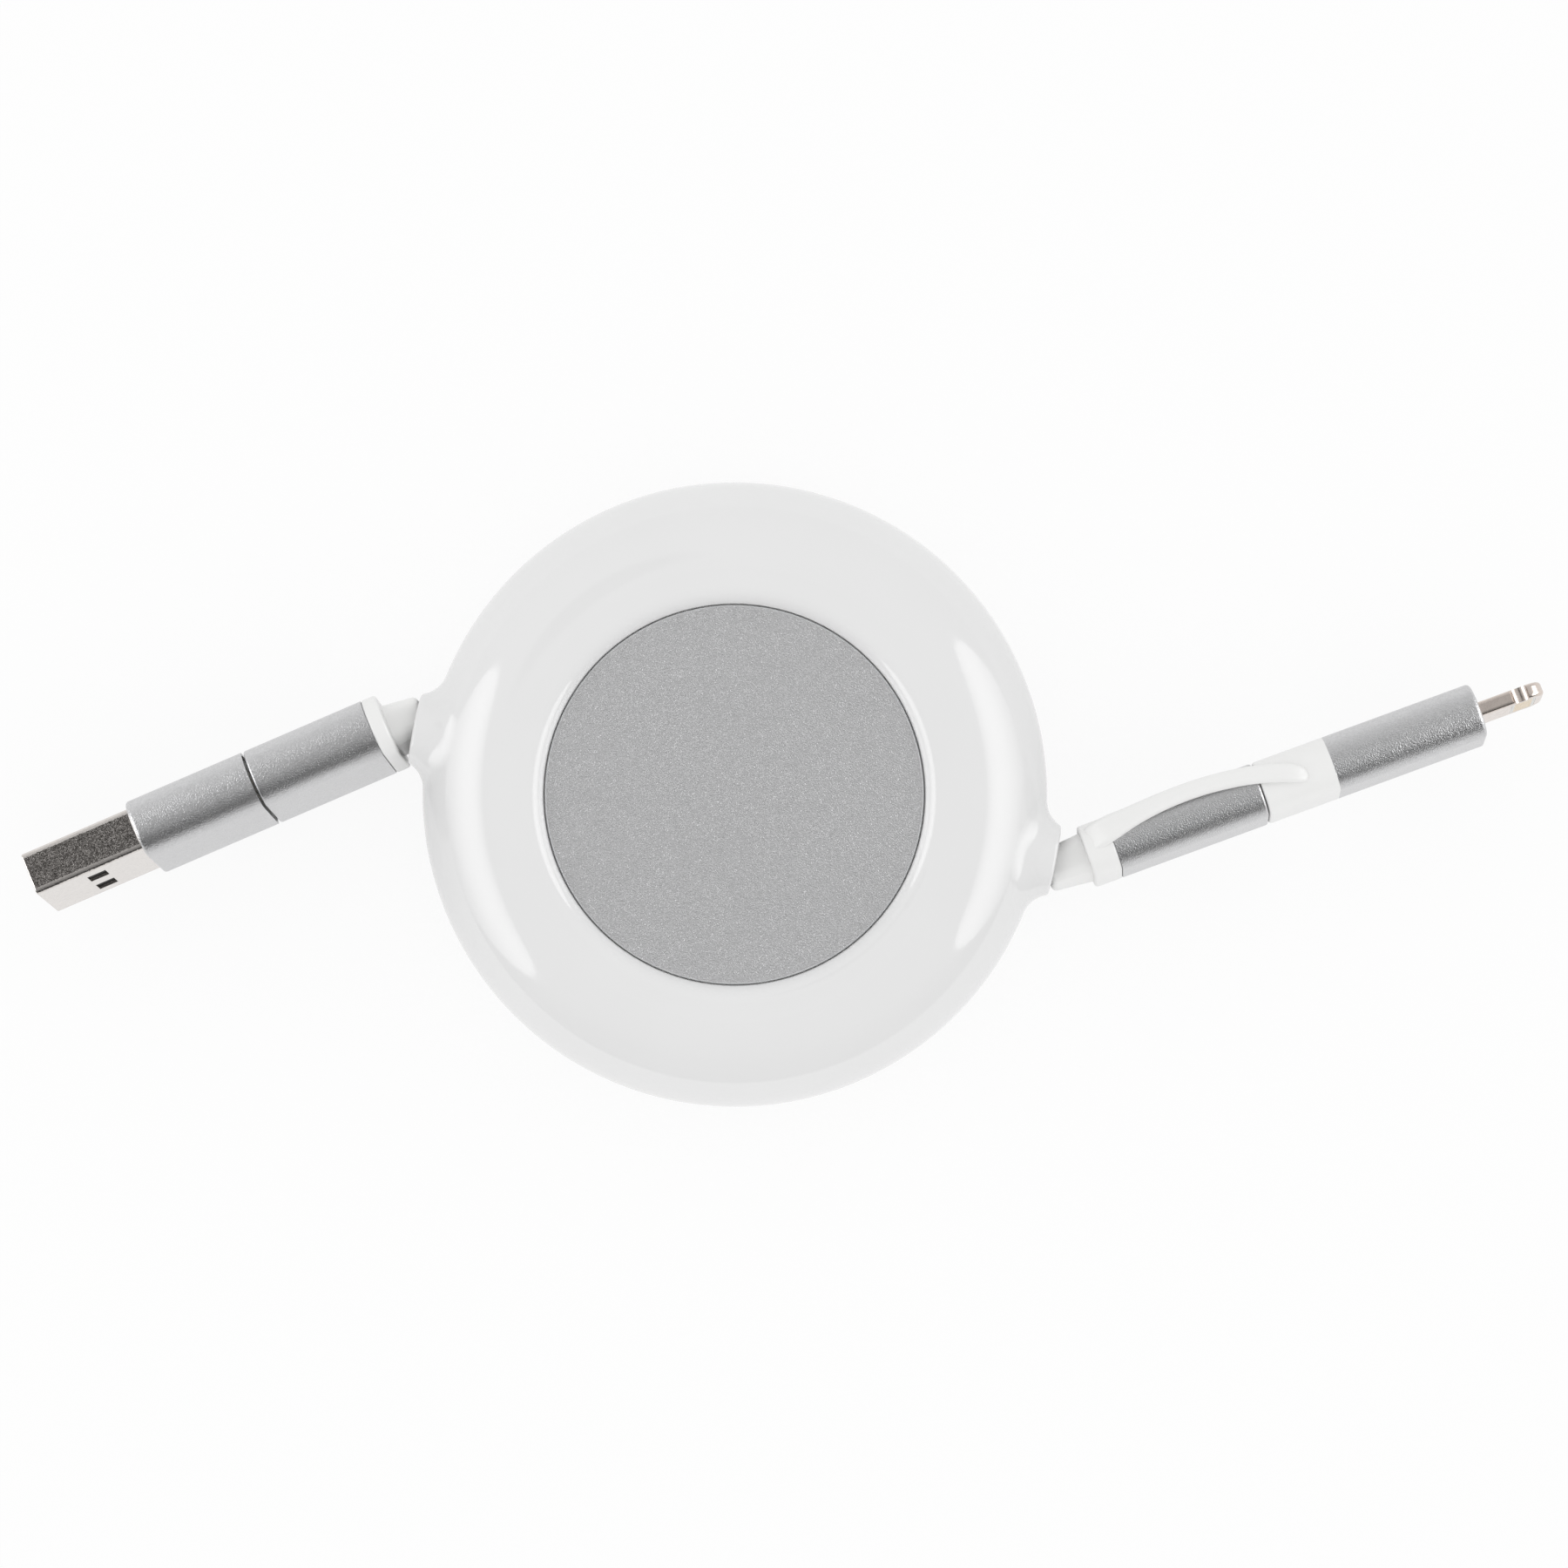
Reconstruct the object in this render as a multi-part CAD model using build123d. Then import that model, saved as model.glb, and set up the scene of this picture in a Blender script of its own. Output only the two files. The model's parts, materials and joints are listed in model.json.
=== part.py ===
from build123d import *
import math
import os

# Retractable charging cable: a flat cable on a sprung reel in a round puck, with a plug at each end.
# Millimetres. +Z is up out of the disc, +X runs out through the phone end's snout,
# and the origin is the centre of the flat base.

# Flat cable, wound double on the reel
RIBBON_WIDTH = 5.0
RIBBON_THICKNESS = 1.1
RUN_LENGTH = 450.0
TURN_GAP = 0.06
LEAD_WRAP = 150.0

# Reel
POST_RADIUS = 3.0
RUNNING_CLEARANCE = 0.06
THRUST_WIDTH = 2.0
SIDE_PLAY = 0.3
FLANGE_THICKNESS = 1.2
FLANGE_OVERHANG = 1.2
HUB_RADIUS = 12.4
HUB_WALL = 1.4
REGISTER_DEPTH = 0.8
REGISTER_WALL = 1.0
REGISTER_CLEARANCE = 0.05
POST_STAND = 0.5

# Mainspring
SPRING_STRIP = 0.25
SPRING_PITCH = 0.8
SPRING_END_GAP = 0.3
TANG_LENGTH = 1.5
HOOK_SLOT = 0.4

# Ball catch
BALL_RADIUS = 1.5
BALL_PLAY = 0.1
TRACK_WALL = 0.8
TRACK_RISE = 0.3
TRACK_ROOF = 1.4
ISLAND_WIDTH = 2.0
ISLAND_SWEEP = 56.0
ISLAND_COUNT = 3
CATCH_ANGLE = 100.0
RAIL_WALL = 1.2
RAIL_CLEARANCE = 0.3

# Housing
WALL = 1.6
ROOF_WALL = 1.5
REEL_ROOM = 4.34
SEAM_GAP = 0.12
LIP_HEIGHT = 1.0
LIP_THICKNESS = 0.7
LIP_CLEARANCE = 0.05

# Disc in the top
CROWN_WIDTH = 3.8
PLATE_THICKNESS = 0.8
PLATE_CHAMFER = 0.15
PLATE_DROP = 1.3
PLATE_GAP = 0.12
RECESS_ROUND = 1.7
PAD_THICKNESS = 0.15
PAD_MARGIN = 1.0

# Closing screw
SCREW_RADIUS = 1.0
SCREW_LENGTH = 8.0
SCREW_HEAD_RADIUS = 2.0
SCREW_HEAD_HEIGHT = 1.3
SCREW_CLEARANCE = 0.1
SCREW_FIT = 0.02
DRIVE_WIDTH = 0.6
DRIVE_SPAN = 2.4
DRIVE_DEPTH = 0.8
BOSS_WALL = 1.8

# Boots of both plugs
BOOT_SIDE = 1.8
BOOT_EDGE = 1.5
BOOT_CORNER = 1.2
BOOT_TAPER = 1.0
BOOT_ROUND = 0.6
COLLAR_ROUND = 0.3
SPIGOT = 2.0
CORE_SETBACK = 0.2

# Snouts
SNOUT_REACH = 1.35
SNOUT_YAW = 1.0
SNOUT_SHIFT = 0.2
SNOUT_CORNER = 3.5
SNOUT_BLEND = 3.2
MOUTH_ROUND = 0.35
MOUTH_RIM = 0.5
MOUTH_ROOM_SIDE = 0.85
MOUTH_ROOM_EDGE = 1.4
FLARE_SIDE = 0.4
FLARE_EDGE = 1.7
FLARE_DEPTH = 6.5
THROAT_CORNER = 1.2

# Fits and sleeve edges shared by both plugs
FIT = 0.04
SLIP = 0.06
SLEEVE_ROUND = 0.25
NOSE_WALL = 0.6
NOSE_ROUND = 0.4
NOSE_CLEARANCE = 0.06

# Small reversible plug and its socket
PLUG_WIDTH = 8.25
PLUG_THICKNESS = 2.4
PLUG_LENGTH = 6.65
PLUG_WALL = 0.25
PLUG_TANG = 3.0
LINER_SETBACK = 0.3
SLOT_SIDE = 0.675
SLOT_ROOM = 0.6
TONGUE_SIDE = 0.15
TONGUE_HEIGHT = 0.6
TONGUE_LENGTH = 4.8
CONTACT_GAP = 0.055
PIN_COUNT = 12
PIN_MARGIN = 0.55
PIN_SPACE = 0.24
PIN_HEIGHT = 0.08
PIN_SETBACK = 0.4
PAD_HEIGHT = 0.04
SOCKET_WALL = 0.25
SOCKET_BACK = 0.8
SOCKET_PLAY = 0.15

# Wide flat plug
TYPE_A_WIDTH = 12.0
TYPE_A_THICKNESS = 4.5
TYPE_A_CORNER = 0.6
TYPE_A_SHEET = 0.3
TYPE_A_LENGTH = 11.75
TYPE_A_TIP_ROUND = 0.15
TYPE_A_TANG = 4.6
WINDOW_LENGTH = 2.0
WINDOW_WIDTH = 2.5
WINDOW_FROM_TIP = 5.16
WINDOW_SPACING = 4.8
TYPE_A_TONGUE = 1.84
TYPE_A_TONGUE_SETBACK = 0.7
TYPE_A_PIN_WIDTH = 1.0
TYPE_A_PIN_HEIGHT = 0.12
TYPE_A_OUTER_PIN = 7.4
TYPE_A_INNER_PIN = 6.4
TYPE_A_INNER_SPACING = 2.0
TYPE_A_OUTER_SPACING = 7.0
TYPE_A_PIN_SETBACK = 1.2

# Host end: where its boot sits in the snout's mouth, which way it points, and its pieces along that way
HOST_INSET = 0.75
HOST_SHIFT = 1.2
HOST_ANGLE = 35.3
HOST_ROLL = 11.0
HOST_BOOT_LENGTH = 3.7
HOST_COLLAR = 1.6
HOST_SLEEVE = 13.0
HOST_SPLIT = 0.24
HOST_BULKHEAD = 0.9
HOST_SLEEVE_WALL = 0.35
HOST_FACE_WALL = 0.475
HOST_SIDE_WALL = 1.35

# Phone end
PHONE_INSET = 0.46
PHONE_SHIFT = 1.12
PHONE_ANGLE = 32.1
PHONE_ROLL = -9.2
PHONE_BOOT_LENGTH = 4.3
PHONE_COLLAR = 3.0
PHONE_SLEEVE = 15.9
PHONE_SPLIT = 0.12
PHONE_BULKHEAD = 0.12
PHONE_ADAPTER_SLEEVE = 16.0
PHONE_SLEEVE_WALL = 0.4
PHONE_FACE_WALL = 0.965
PHONE_SIDE_WALL = 0.765

# Thin phone plug
BLADE_LENGTH = 7.0
BLADE_WIDTH = 6.7
BLADE_THICKNESS = 1.5
BLADE_TIP_ROUND = 1.6
BLADE_EDGE_ROUND = 0.4
BLADE_TANG = 6.0
NOTCH_RADIUS = 1.06
NOTCH_DEPTH = 0.5
NOTCH_FROM_TIP = 2.5
FIELD_LENGTH = 2.6
FIELD_FROM_TIP = 0.95
FIELD_RIM = 0.35
FIELD_CORNER = 0.4
BLADE_PIN_COUNT = 8
BLADE_PIN_MARGIN = 0.42
BLADE_PIN_SPACE = 0.2
BLADE_PIN_END = 0.35
BLADE_PIN_HEIGHT = 0.06

# Tether strap
STRAP_WIDTH = 2.3
STRAP_THICKNESS = 1.2
STRAP_ROUND = 0.4
STRAP_ROOT_SIDE = 1.1
STRAP_TIP_SIDE = -0.2
STRAP_SIDE_BOW = 1.5
STRAP_LIFT = 0.9
STRAP_SEAT = 0.25
STRAP_ROOT = 1.0
STRAP_END = 4.4
STRAP_CLEARANCE = 0.06

# Heights, from the floor up through the ball catch to the cable's plane
GROOVE_TOP = WALL + 2 * BALL_RADIUS + 2 * BALL_PLAY
TRACK_BOTTOM = WALL + BALL_RADIUS + TRACK_RISE
RAIL_TOP = TRACK_BOTTOM - RAIL_CLEARANCE
FLANGE_TOP = GROOVE_TOP + TRACK_ROOF
FLANGE_BOTTOM = FLANGE_TOP - FLANGE_THICKNESS
MID = FLANGE_TOP + SIDE_PLAY + RIBBON_WIDTH / 2
BODY_HEIGHT = 2 * MID
COVER_BOTTOM = MID + RIBBON_WIDTH / 2 + SIDE_PLAY
COVER_TOP = COVER_BOTTOM + FLANGE_THICKNESS
POST_TOP = COVER_TOP + POST_STAND
RECESS_DEPTH = PLATE_DROP + PLATE_THICKNESS + PAD_THICKNESS
RECESS_FLOOR = BODY_HEIGHT - RECESS_DEPTH
ROOF = RECESS_FLOOR - ROOF_WALL
SCREW_SEAT = RECESS_FLOOR - SCREW_HEAD_HEIGHT - SCREW_CLEARANCE

# Radii, from the post out through the wound cable to the rim
BORE_RADIUS = POST_RADIUS + RUNNING_CLEARANCE
THRUST_RADIUS = POST_RADIUS + THRUST_WIDTH
BARREL_RADIUS = HUB_RADIUS - HUB_WALL
HOOK_REACH = HUB_WALL / 2
PAIR_THICKNESS = 2 * RIBBON_THICKNESS
COIL_PITCH = PAIR_THICKNESS + TURN_GAP
COIL_FIRST = HUB_RADIUS + TURN_GAP + PAIR_THICKNESS / 2 + COIL_PITCH / 4
LANE = 2 * (BALL_RADIUS + BALL_PLAY)
TRACK_INNER = HUB_RADIUS + TRACK_WALL
TRACK_OUTER = TRACK_INNER + 2 * LANE + ISLAND_WIDTH
BALL_LANE = TRACK_OUTER - LANE / 2


def half_turns_for(length):
    """Number of half turns of the coil that hold one run of the cable."""
    count = 0
    wound = 0.0
    while wound < length:
        wound += math.pi * (COIL_FIRST + count * COIL_PITCH / 2)
        count += 1
    return count


COIL_HALF_TURNS = half_turns_for(RUN_LENGTH)
COIL_LAST = COIL_FIRST + (COIL_HALF_TURNS - 1) * COIL_PITCH / 2
COIL_OUTER = COIL_LAST + PAIR_THICKNESS / 2 + COIL_PITCH / 4
LEAD_RADIUS = COIL_OUTER + TURN_GAP + RIBBON_THICKNESS / 2
FLANGE_RADIUS = LEAD_RADIUS + RIBBON_THICKNESS / 2 + FLANGE_OVERHANG
BODY_RADIUS = FLANGE_RADIUS + REEL_ROOM + WALL
RIM_CENTRE = BODY_RADIUS - MID
PLATE_RADIUS = RIM_CENTRE - CROWN_WIDTH
RECESS_RADIUS = PLATE_RADIUS + PLATE_GAP
LARGE = 8 * BODY_RADIUS
HALF_TURN = 180

# Boots and snouts, from the cable's section outwards
BOOT_THICKNESS = RIBBON_THICKNESS + 2 * BOOT_SIDE
BOOT_WIDTH = RIBBON_WIDTH + 2 * BOOT_EDGE
MOUTH_WIDTH = BOOT_THICKNESS + 2 * MOUTH_ROOM_SIDE
MOUTH_HEIGHT = BOOT_WIDTH + 2 * MOUTH_ROOM_EDGE
MOUTH_CORNER = SNOUT_CORNER - MOUTH_RIM
MOUTH_REACH = BODY_RADIUS + SNOUT_REACH
SNOUT_ROOT = MOUTH_REACH - RIM_CENTRE
SNOUT_WIDTH = MOUTH_WIDTH + 2 * MOUTH_RIM
SNOUT_HEIGHT = MOUTH_HEIGHT + 2 * MOUTH_RIM
THROAT_WIDTH = MOUTH_WIDTH - 2 * FLARE_SIDE
THROAT_HEIGHT = MOUTH_HEIGHT - 2 * FLARE_EDGE

# Small plug and socket
SLOT_WIDTH = PLUG_WIDTH - 2 * SLOT_SIDE
SLOT_HEIGHT = TONGUE_HEIGHT + 2 * (PAD_HEIGHT + CONTACT_GAP + PIN_HEIGHT)
SLOT_DEPTH = TONGUE_LENGTH + SLOT_ROOM
TONGUE_WIDTH = SLOT_WIDTH - 2 * TONGUE_SIDE
PIN_PITCH = (TONGUE_WIDTH - 2 * PIN_MARGIN) / (PIN_COUNT - 1)
PIN_WIDTH = PIN_PITCH - PIN_SPACE
PIN_LENGTH = TONGUE_LENGTH - PIN_SETBACK
SOCKET_WIDTH = PLUG_WIDTH + 2 * (SLIP + SOCKET_WALL)
SOCKET_THICKNESS = PLUG_THICKNESS + 2 * (SLIP + SOCKET_WALL)
SOCKET_DEPTH = PLUG_LENGTH + SOCKET_PLAY + SOCKET_BACK

# Sleeves, from the plugs that they hold
HOST_WIDTH = TYPE_A_WIDTH + 2 * (HOST_SIDE_WALL + HOST_SLEEVE_WALL)
HOST_THICKNESS = TYPE_A_THICKNESS + 2 * (HOST_FACE_WALL + HOST_SLEEVE_WALL)
HOST_SIZE = (HOST_WIDTH, HOST_THICKNESS, HOST_SLEEVE_WALL)
HOST_FACE = HOST_COLLAR + HOST_SLEEVE
HOST_FRONT = HOST_FACE + SOCKET_DEPTH + HOST_BULKHEAD + TYPE_A_TANG
PHONE_WIDTH = SOCKET_WIDTH + 2 * (PHONE_SIDE_WALL + PHONE_SLEEVE_WALL)
PHONE_THICKNESS = SOCKET_THICKNESS + 2 * (PHONE_FACE_WALL + PHONE_SLEEVE_WALL)
PHONE_SIZE = (PHONE_WIDTH, PHONE_THICKNESS, PHONE_SLEEVE_WALL)
PHONE_FACE = PHONE_COLLAR + PHONE_SLEEVE
PHONE_SHOULDER = PHONE_FACE + SOCKET_DEPTH + PHONE_BULKHEAD
PHONE_FRONT = PHONE_SHOULDER + PHONE_ADAPTER_SLEEVE

# Thin plug
FIELD_WIDTH = BLADE_WIDTH - 2 * (NOTCH_DEPTH + FIELD_RIM)
BLADE_PIN_PITCH = (FIELD_WIDTH - 2 * BLADE_PIN_MARGIN) / (BLADE_PIN_COUNT - 1)
BLADE_PIN_WIDTH = BLADE_PIN_PITCH - BLADE_PIN_SPACE
BLADE_PIN_LENGTH = FIELD_LENGTH - 2 * BLADE_PIN_END


# Shapes used more than once
def polar(radius, angle):
    return radius * math.cos(math.radians(angle)), radius * math.sin(math.radians(angle))


def cylinder(radius, bottom, top):
    """Upright cylinder on the body's axis."""
    return Pos(0, 0, bottom) * Cylinder(radius, top - bottom, align=(Align.CENTER, Align.CENTER, Align.MIN))


def ring(inner, outer, bottom, top):
    """Upright ring on the body's axis."""
    return cylinder(outer, bottom, top) - cylinder(inner, bottom, top)


def stadium_bar(start, end, width, thickness):
    """Bar along X with full-round narrow sides, width along Z and thickness along Y."""
    section = Plane.YZ.offset(start) * SlotOverall(width, thickness, rotation=90)
    return extrude(section, end - start)


def block(start, end, width, thickness, corner):
    """Bar along X with a round-cornered section, width along Z and thickness along Y."""
    section = Plane.YZ.offset(start) * RectangleRounded(thickness, width, corner)
    return extrude(section, end - start)


def plain_block(start, end, width, thickness, y=0, z=0):
    """Bar along X with a square-cornered section."""
    section = Plane.YZ.offset(start) * Pos(y, z) * Rectangle(thickness, width)
    return extrude(section, end - start)


def front_edges(shape):
    return shape.faces().sort_by(Axis.X)[-1].edges()


def rear_edges(shape):
    return shape.faces().sort_by(Axis.X)[0].edges()


def spiral_strip(first_radius, pitch, half_turns, thickness):
    """Face of a flat strip, wound clockwise outwards in half circles about two centres a half pitch apart."""
    edges = []
    for k in range(half_turns):
        centre = (-pitch / 4 if k % 2 == 0 else pitch / 4, 0)
        radius = first_radius + k * pitch / 2
        start = 0 if k % 2 == 0 else HALF_TURN
        edges.append(CenterArc(centre, radius - thickness / 2, start, -HALF_TURN))
        edges.append(CenterArc(centre, radius + thickness / 2, start, -HALF_TURN))
    edges.append(Line(edges[0] @ 0, edges[1] @ 0))
    edges.append(Line(edges[2 * half_turns - 2] @ 1, edges[2 * half_turns - 1] @ 1))
    return make_face(edges)


# Housing
def bun(inset):
    """Round body with a half-round rim, all of it inset by a wall."""
    top = BODY_HEIGHT - inset
    flat = Polyline((RIM_CENTRE, top), (0, top), (0, inset), (RIM_CENTRE, inset))
    rim = ThreePointArc((RIM_CENTRE, inset), (BODY_RADIUS - inset, MID), (RIM_CENTRE, top))
    return revolve(Plane.XZ * make_face(flat.edges() + rim.edges()), Axis.Z)


def snout_frame(side):
    """Mouth of a snout: side 0 is the phone end at +X, side 1 the host end at -X."""
    return Rot(0, 0, HALF_TURN * side) * Pos(MOUTH_REACH, SNOUT_SHIFT, MID) * Rot(0, 0, SNOUT_YAW)


def snout():
    bar = block(-SNOUT_ROOT, 0, SNOUT_HEIGHT, SNOUT_WIDTH, SNOUT_CORNER)
    return fillet(front_edges(bar), MOUTH_ROUND)


def throat():
    """Flared way out for the cable, widest at the mouth."""
    mouth = RectangleRounded(MOUTH_WIDTH, MOUTH_HEIGHT, MOUTH_CORNER)
    inner = RectangleRounded(THROAT_WIDTH, THROAT_HEIGHT, THROAT_CORNER)
    flare = loft([Plane.YZ.offset(-FLARE_DEPTH) * inner, Plane.YZ * mouth])
    return flare + block(-SNOUT_ROOT, -FLARE_DEPTH, THROAT_HEIGHT, THROAT_WIDTH, THROAT_CORNER)


def outer_body():
    """Round body with both snouts blended into its rim."""
    plain = bun(0)
    snouts = [snout_frame(side) * snout() for side in (0, 1)]
    body = plain + snouts
    return fillet(new_edges(plain, *snouts, combined=body), SNOUT_BLEND)


def hollow():
    """Room for the reel, with a lower roof under the disc, and the two ways out."""
    room = bun(WALL) - cylinder(RECESS_RADIUS + WALL, ROOF, BODY_HEIGHT)
    return room + [snout_frame(side) * throat() for side in (0, 1)]


def half_space(upper):
    """Block above or below the seam."""
    shift = (SEAM_GAP + LARGE) / 2
    return Pos(0, 0, MID + shift if upper else MID - shift) * Box(LARGE, LARGE, LARGE)


def seam_lip(clearance):
    """Ring inside the wall that stands up from the lower half, and carries the upper half on its top."""
    inner = BODY_RADIUS - WALL
    return ring(inner - clearance, inner + LIP_THICKNESS + clearance, MID - LIP_HEIGHT, MID + LIP_HEIGHT)


def catch_rails():
    """Rib with a radial slot, in which the catch's ball moves in and out."""
    inner = TRACK_INNER + BALL_PLAY
    outer = TRACK_OUTER - BALL_PLAY
    length = outer - inner
    rib = extrude(Rectangle(length + 2 * RAIL_WALL, LANE + 2 * RAIL_WALL), RAIL_TOP - WALL)
    slot = extrude(SlotOverall(length, LANE), RAIL_TOP)
    return Rot(0, 0, CATCH_ANGLE) * Pos((inner + outer) / 2, 0, WALL) * (rib - slot)


def centre_post():
    """Post that the reel turns on, split for the spring's tang and bored for the screw."""
    post = cylinder(POST_RADIUS, 0, POST_TOP) + cylinder(THRUST_RADIUS, 0, RAIL_TOP)
    pilot = cylinder(SCREW_RADIUS + SCREW_FIT, POST_TOP - SCREW_LENGTH, POST_TOP)
    split = Pos(POST_RADIUS, 0, FLANGE_TOP) * extrude(Rectangle(2 * TANG_LENGTH, HOOK_SLOT), BODY_HEIGHT)
    return post - pilot - split


def lower_shell(body, inside):
    shell = (body & half_space(False)) + seam_lip(0)
    return shell - inside + centre_post() + catch_rails()


def on_recess_edge(edge):
    """True for the top edge of the disc's recess."""
    on_top = edge.arc_center.Z > BODY_HEIGHT - RECESS_DEPTH / 2
    return on_top and abs(edge.radius - RECESS_RADIUS) < PLATE_GAP / 2


def upper_shell(body, inside):
    shell = (body & half_space(True)) - cylinder(RECESS_RADIUS, RECESS_FLOOR, BODY_HEIGHT)
    shell = fillet(shell.edges().filter_by(GeomType.CIRCLE).filter_by(on_recess_edge), RECESS_ROUND)
    shell = shell - inside - seam_lip(LIP_CLEARANCE)
    boss = cylinder(SCREW_HEAD_RADIUS + BOSS_WALL, POST_TOP, RECESS_FLOOR)
    head_hole = cylinder(SCREW_HEAD_RADIUS + SCREW_CLEARANCE, SCREW_SEAT, RECESS_FLOOR)
    shank_hole = cylinder(SCREW_RADIUS + SCREW_CLEARANCE, POST_TOP, RECESS_FLOOR)
    return shell + boss - head_hole - shank_hole


def centre_screw():
    """Pan-head screw with a cross recess."""
    shank = cylinder(SCREW_RADIUS, SCREW_SEAT + SCREW_HEAD_HEIGHT - SCREW_LENGTH, SCREW_SEAT)
    head = cylinder(SCREW_HEAD_RADIUS, SCREW_SEAT, SCREW_SEAT + SCREW_HEAD_HEIGHT)
    head = fillet(head.edges().group_by(Axis.Z)[-1], SCREW_HEAD_HEIGHT / 3)
    cross = Box(DRIVE_SPAN, DRIVE_WIDTH, 2 * DRIVE_DEPTH) + Box(DRIVE_WIDTH, DRIVE_SPAN, 2 * DRIVE_DEPTH)
    return shank + head - Pos(0, 0, SCREW_SEAT + SCREW_HEAD_HEIGHT) * cross


def face_plate():
    plate = cylinder(PLATE_RADIUS, RECESS_FLOOR + PAD_THICKNESS, BODY_HEIGHT - PLATE_DROP)
    return chamfer(plate.edges().group_by(Axis.Z)[-1], PLATE_CHAMFER)


def plate_adhesive():
    return cylinder(PLATE_RADIUS - PAD_MARGIN, RECESS_FLOOR, RECESS_FLOOR + PAD_THICKNESS)


def ratchet_ball():
    """Ball of the catch, resting in the free outer lane of the track."""
    return Rot(0, 0, CATCH_ANGLE) * Pos(BALL_LANE, 0, WALL + BALL_RADIUS) * Sphere(BALL_RADIUS)


# Reel
def track_island(angle):
    """Fin between the track's two lanes, with a notch at its end that stops the ball."""
    inner = TRACK_INNER + LANE
    outer = inner + ISLAND_WIDTH
    half = ISLAND_SWEEP / 2
    wedge = Polyline((0, 0), polar(LARGE, -half), polar(LARGE, half), close=True)
    island = ring(inner, outer, TRACK_BOTTOM, GROOVE_TOP) & extrude(make_face(wedge.edges()), BODY_HEIGHT)
    notch = Pos(*polar((inner + outer) / 2, half)) * cylinder(ISLAND_WIDTH / 3, 0, BODY_HEIGHT)
    return Rot(0, 0, angle) * (island - notch)


def reel_drum():
    """Spring barrel, lower flange and the ball's track under it, moulded in one."""
    drum = cylinder(FLANGE_RADIUS, FLANGE_BOTTOM, FLANGE_TOP)
    drum += ring(BARREL_RADIUS, HUB_RADIUS, FLANGE_TOP, COVER_BOTTOM)
    drum += cylinder(THRUST_RADIUS, RAIL_TOP, FLANGE_BOTTOM)
    drum += ring(TRACK_INNER - TRACK_WALL, TRACK_OUTER + TRACK_WALL, TRACK_BOTTOM, FLANGE_TOP)
    drum -= ring(TRACK_INNER, TRACK_OUTER, TRACK_BOTTOM, GROOVE_TOP)
    step = 360 / ISLAND_COUNT
    drum += [track_island(CATCH_ANGLE + (k + 0.5) * step) for k in range(ISLAND_COUNT)]
    hook_slot = extrude(Rectangle(2 * HOOK_REACH, HOOK_SLOT), BODY_HEIGHT)
    drum -= Pos(-BARREL_RADIUS, 0, FLANGE_TOP) * hook_slot
    return drum - cylinder(BORE_RADIUS, 0, BODY_HEIGHT)


def reel_cover():
    """Upper flange, centred in the barrel by a ring under it."""
    disc = cylinder(FLANGE_RADIUS, COVER_BOTTOM, COVER_TOP)
    outer = BARREL_RADIUS - REGISTER_CLEARANCE
    register = ring(outer - REGISTER_WALL, outer, COVER_BOTTOM - REGISTER_DEPTH, COVER_BOTTOM)
    return disc + register - cylinder(BORE_RADIUS, 0, BODY_HEIGHT)


def mainspring():
    """Flat spiral spring, its tang in the post's split and its hook in the barrel's wall."""
    bottom = FLANGE_TOP + SPRING_END_GAP
    top = COVER_BOTTOM - REGISTER_DEPTH - SPRING_END_GAP
    first = POST_RADIUS + SPRING_PITCH
    room = BARREL_RADIUS - SPRING_PITCH / 2 - SPRING_STRIP - first
    half_turns = 2 * int(room / SPRING_PITCH) + 1
    strip = spiral_strip(first, SPRING_PITCH, half_turns, SPRING_STRIP)
    tang = radial_strip(POST_RADIUS - TANG_LENGTH + HOOK_SLOT, first - SPRING_PITCH / 4)
    last = first + half_turns * SPRING_PITCH / 2
    hook = radial_strip(last - SPRING_PITCH / 4, BARREL_RADIUS + HOOK_REACH / 2)
    return Pos(0, 0, bottom) * extrude(strip + tang + Rot(0, 0, HALF_TURN) * hook, top - bottom)


def radial_strip(inner, outer):
    """Straight end of the spring's strip, along +X."""
    return Pos((inner + outer) / 2, 0) * Rectangle(outer - inner, SPRING_STRIP)


def cable_coil():
    """Both runs of the flat cable wound on the drum as one strip."""
    strip = spiral_strip(COIL_FIRST, COIL_PITCH, COIL_HALF_TURNS, PAIR_THICKNESS)
    return Pos(0, 0, MID - RIBBON_WIDTH / 2) * extrude(strip, RIBBON_WIDTH)


def cable_lead(inset, shift, angle):
    """Flat cable that peels off the coil and curves the other way into a boot's rear face."""
    end_x = MOUTH_REACH - inset
    end_y = -shift
    side_x, side_y = polar(1, angle - 90)
    reach = end_x ** 2 + end_y ** 2 - LEAD_RADIUS ** 2
    bend = reach / (2 * (LEAD_RADIUS + end_x * side_x + end_y * side_y))
    centre = (end_x - bend * side_x, end_y - bend * side_y)
    leave = math.degrees(math.atan2(centre[1], centre[0]))
    edges = []
    for side in (-RIBBON_THICKNESS / 2, RIBBON_THICKNESS / 2):
        edges.append(CenterArc((0, 0), LEAD_RADIUS + side, leave, LEAD_WRAP))
        edges.append(CenterArc(centre, bend - side, leave - HALF_TURN, angle + 90 - leave))
    edges.append(Line(edges[0] @ 1, edges[2] @ 1))
    edges.append(Line(edges[1] @ 1, edges[3] @ 1))
    return Pos(0, 0, MID - RIBBON_WIDTH / 2) * extrude(make_face(edges), RIBBON_WIDTH)


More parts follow.
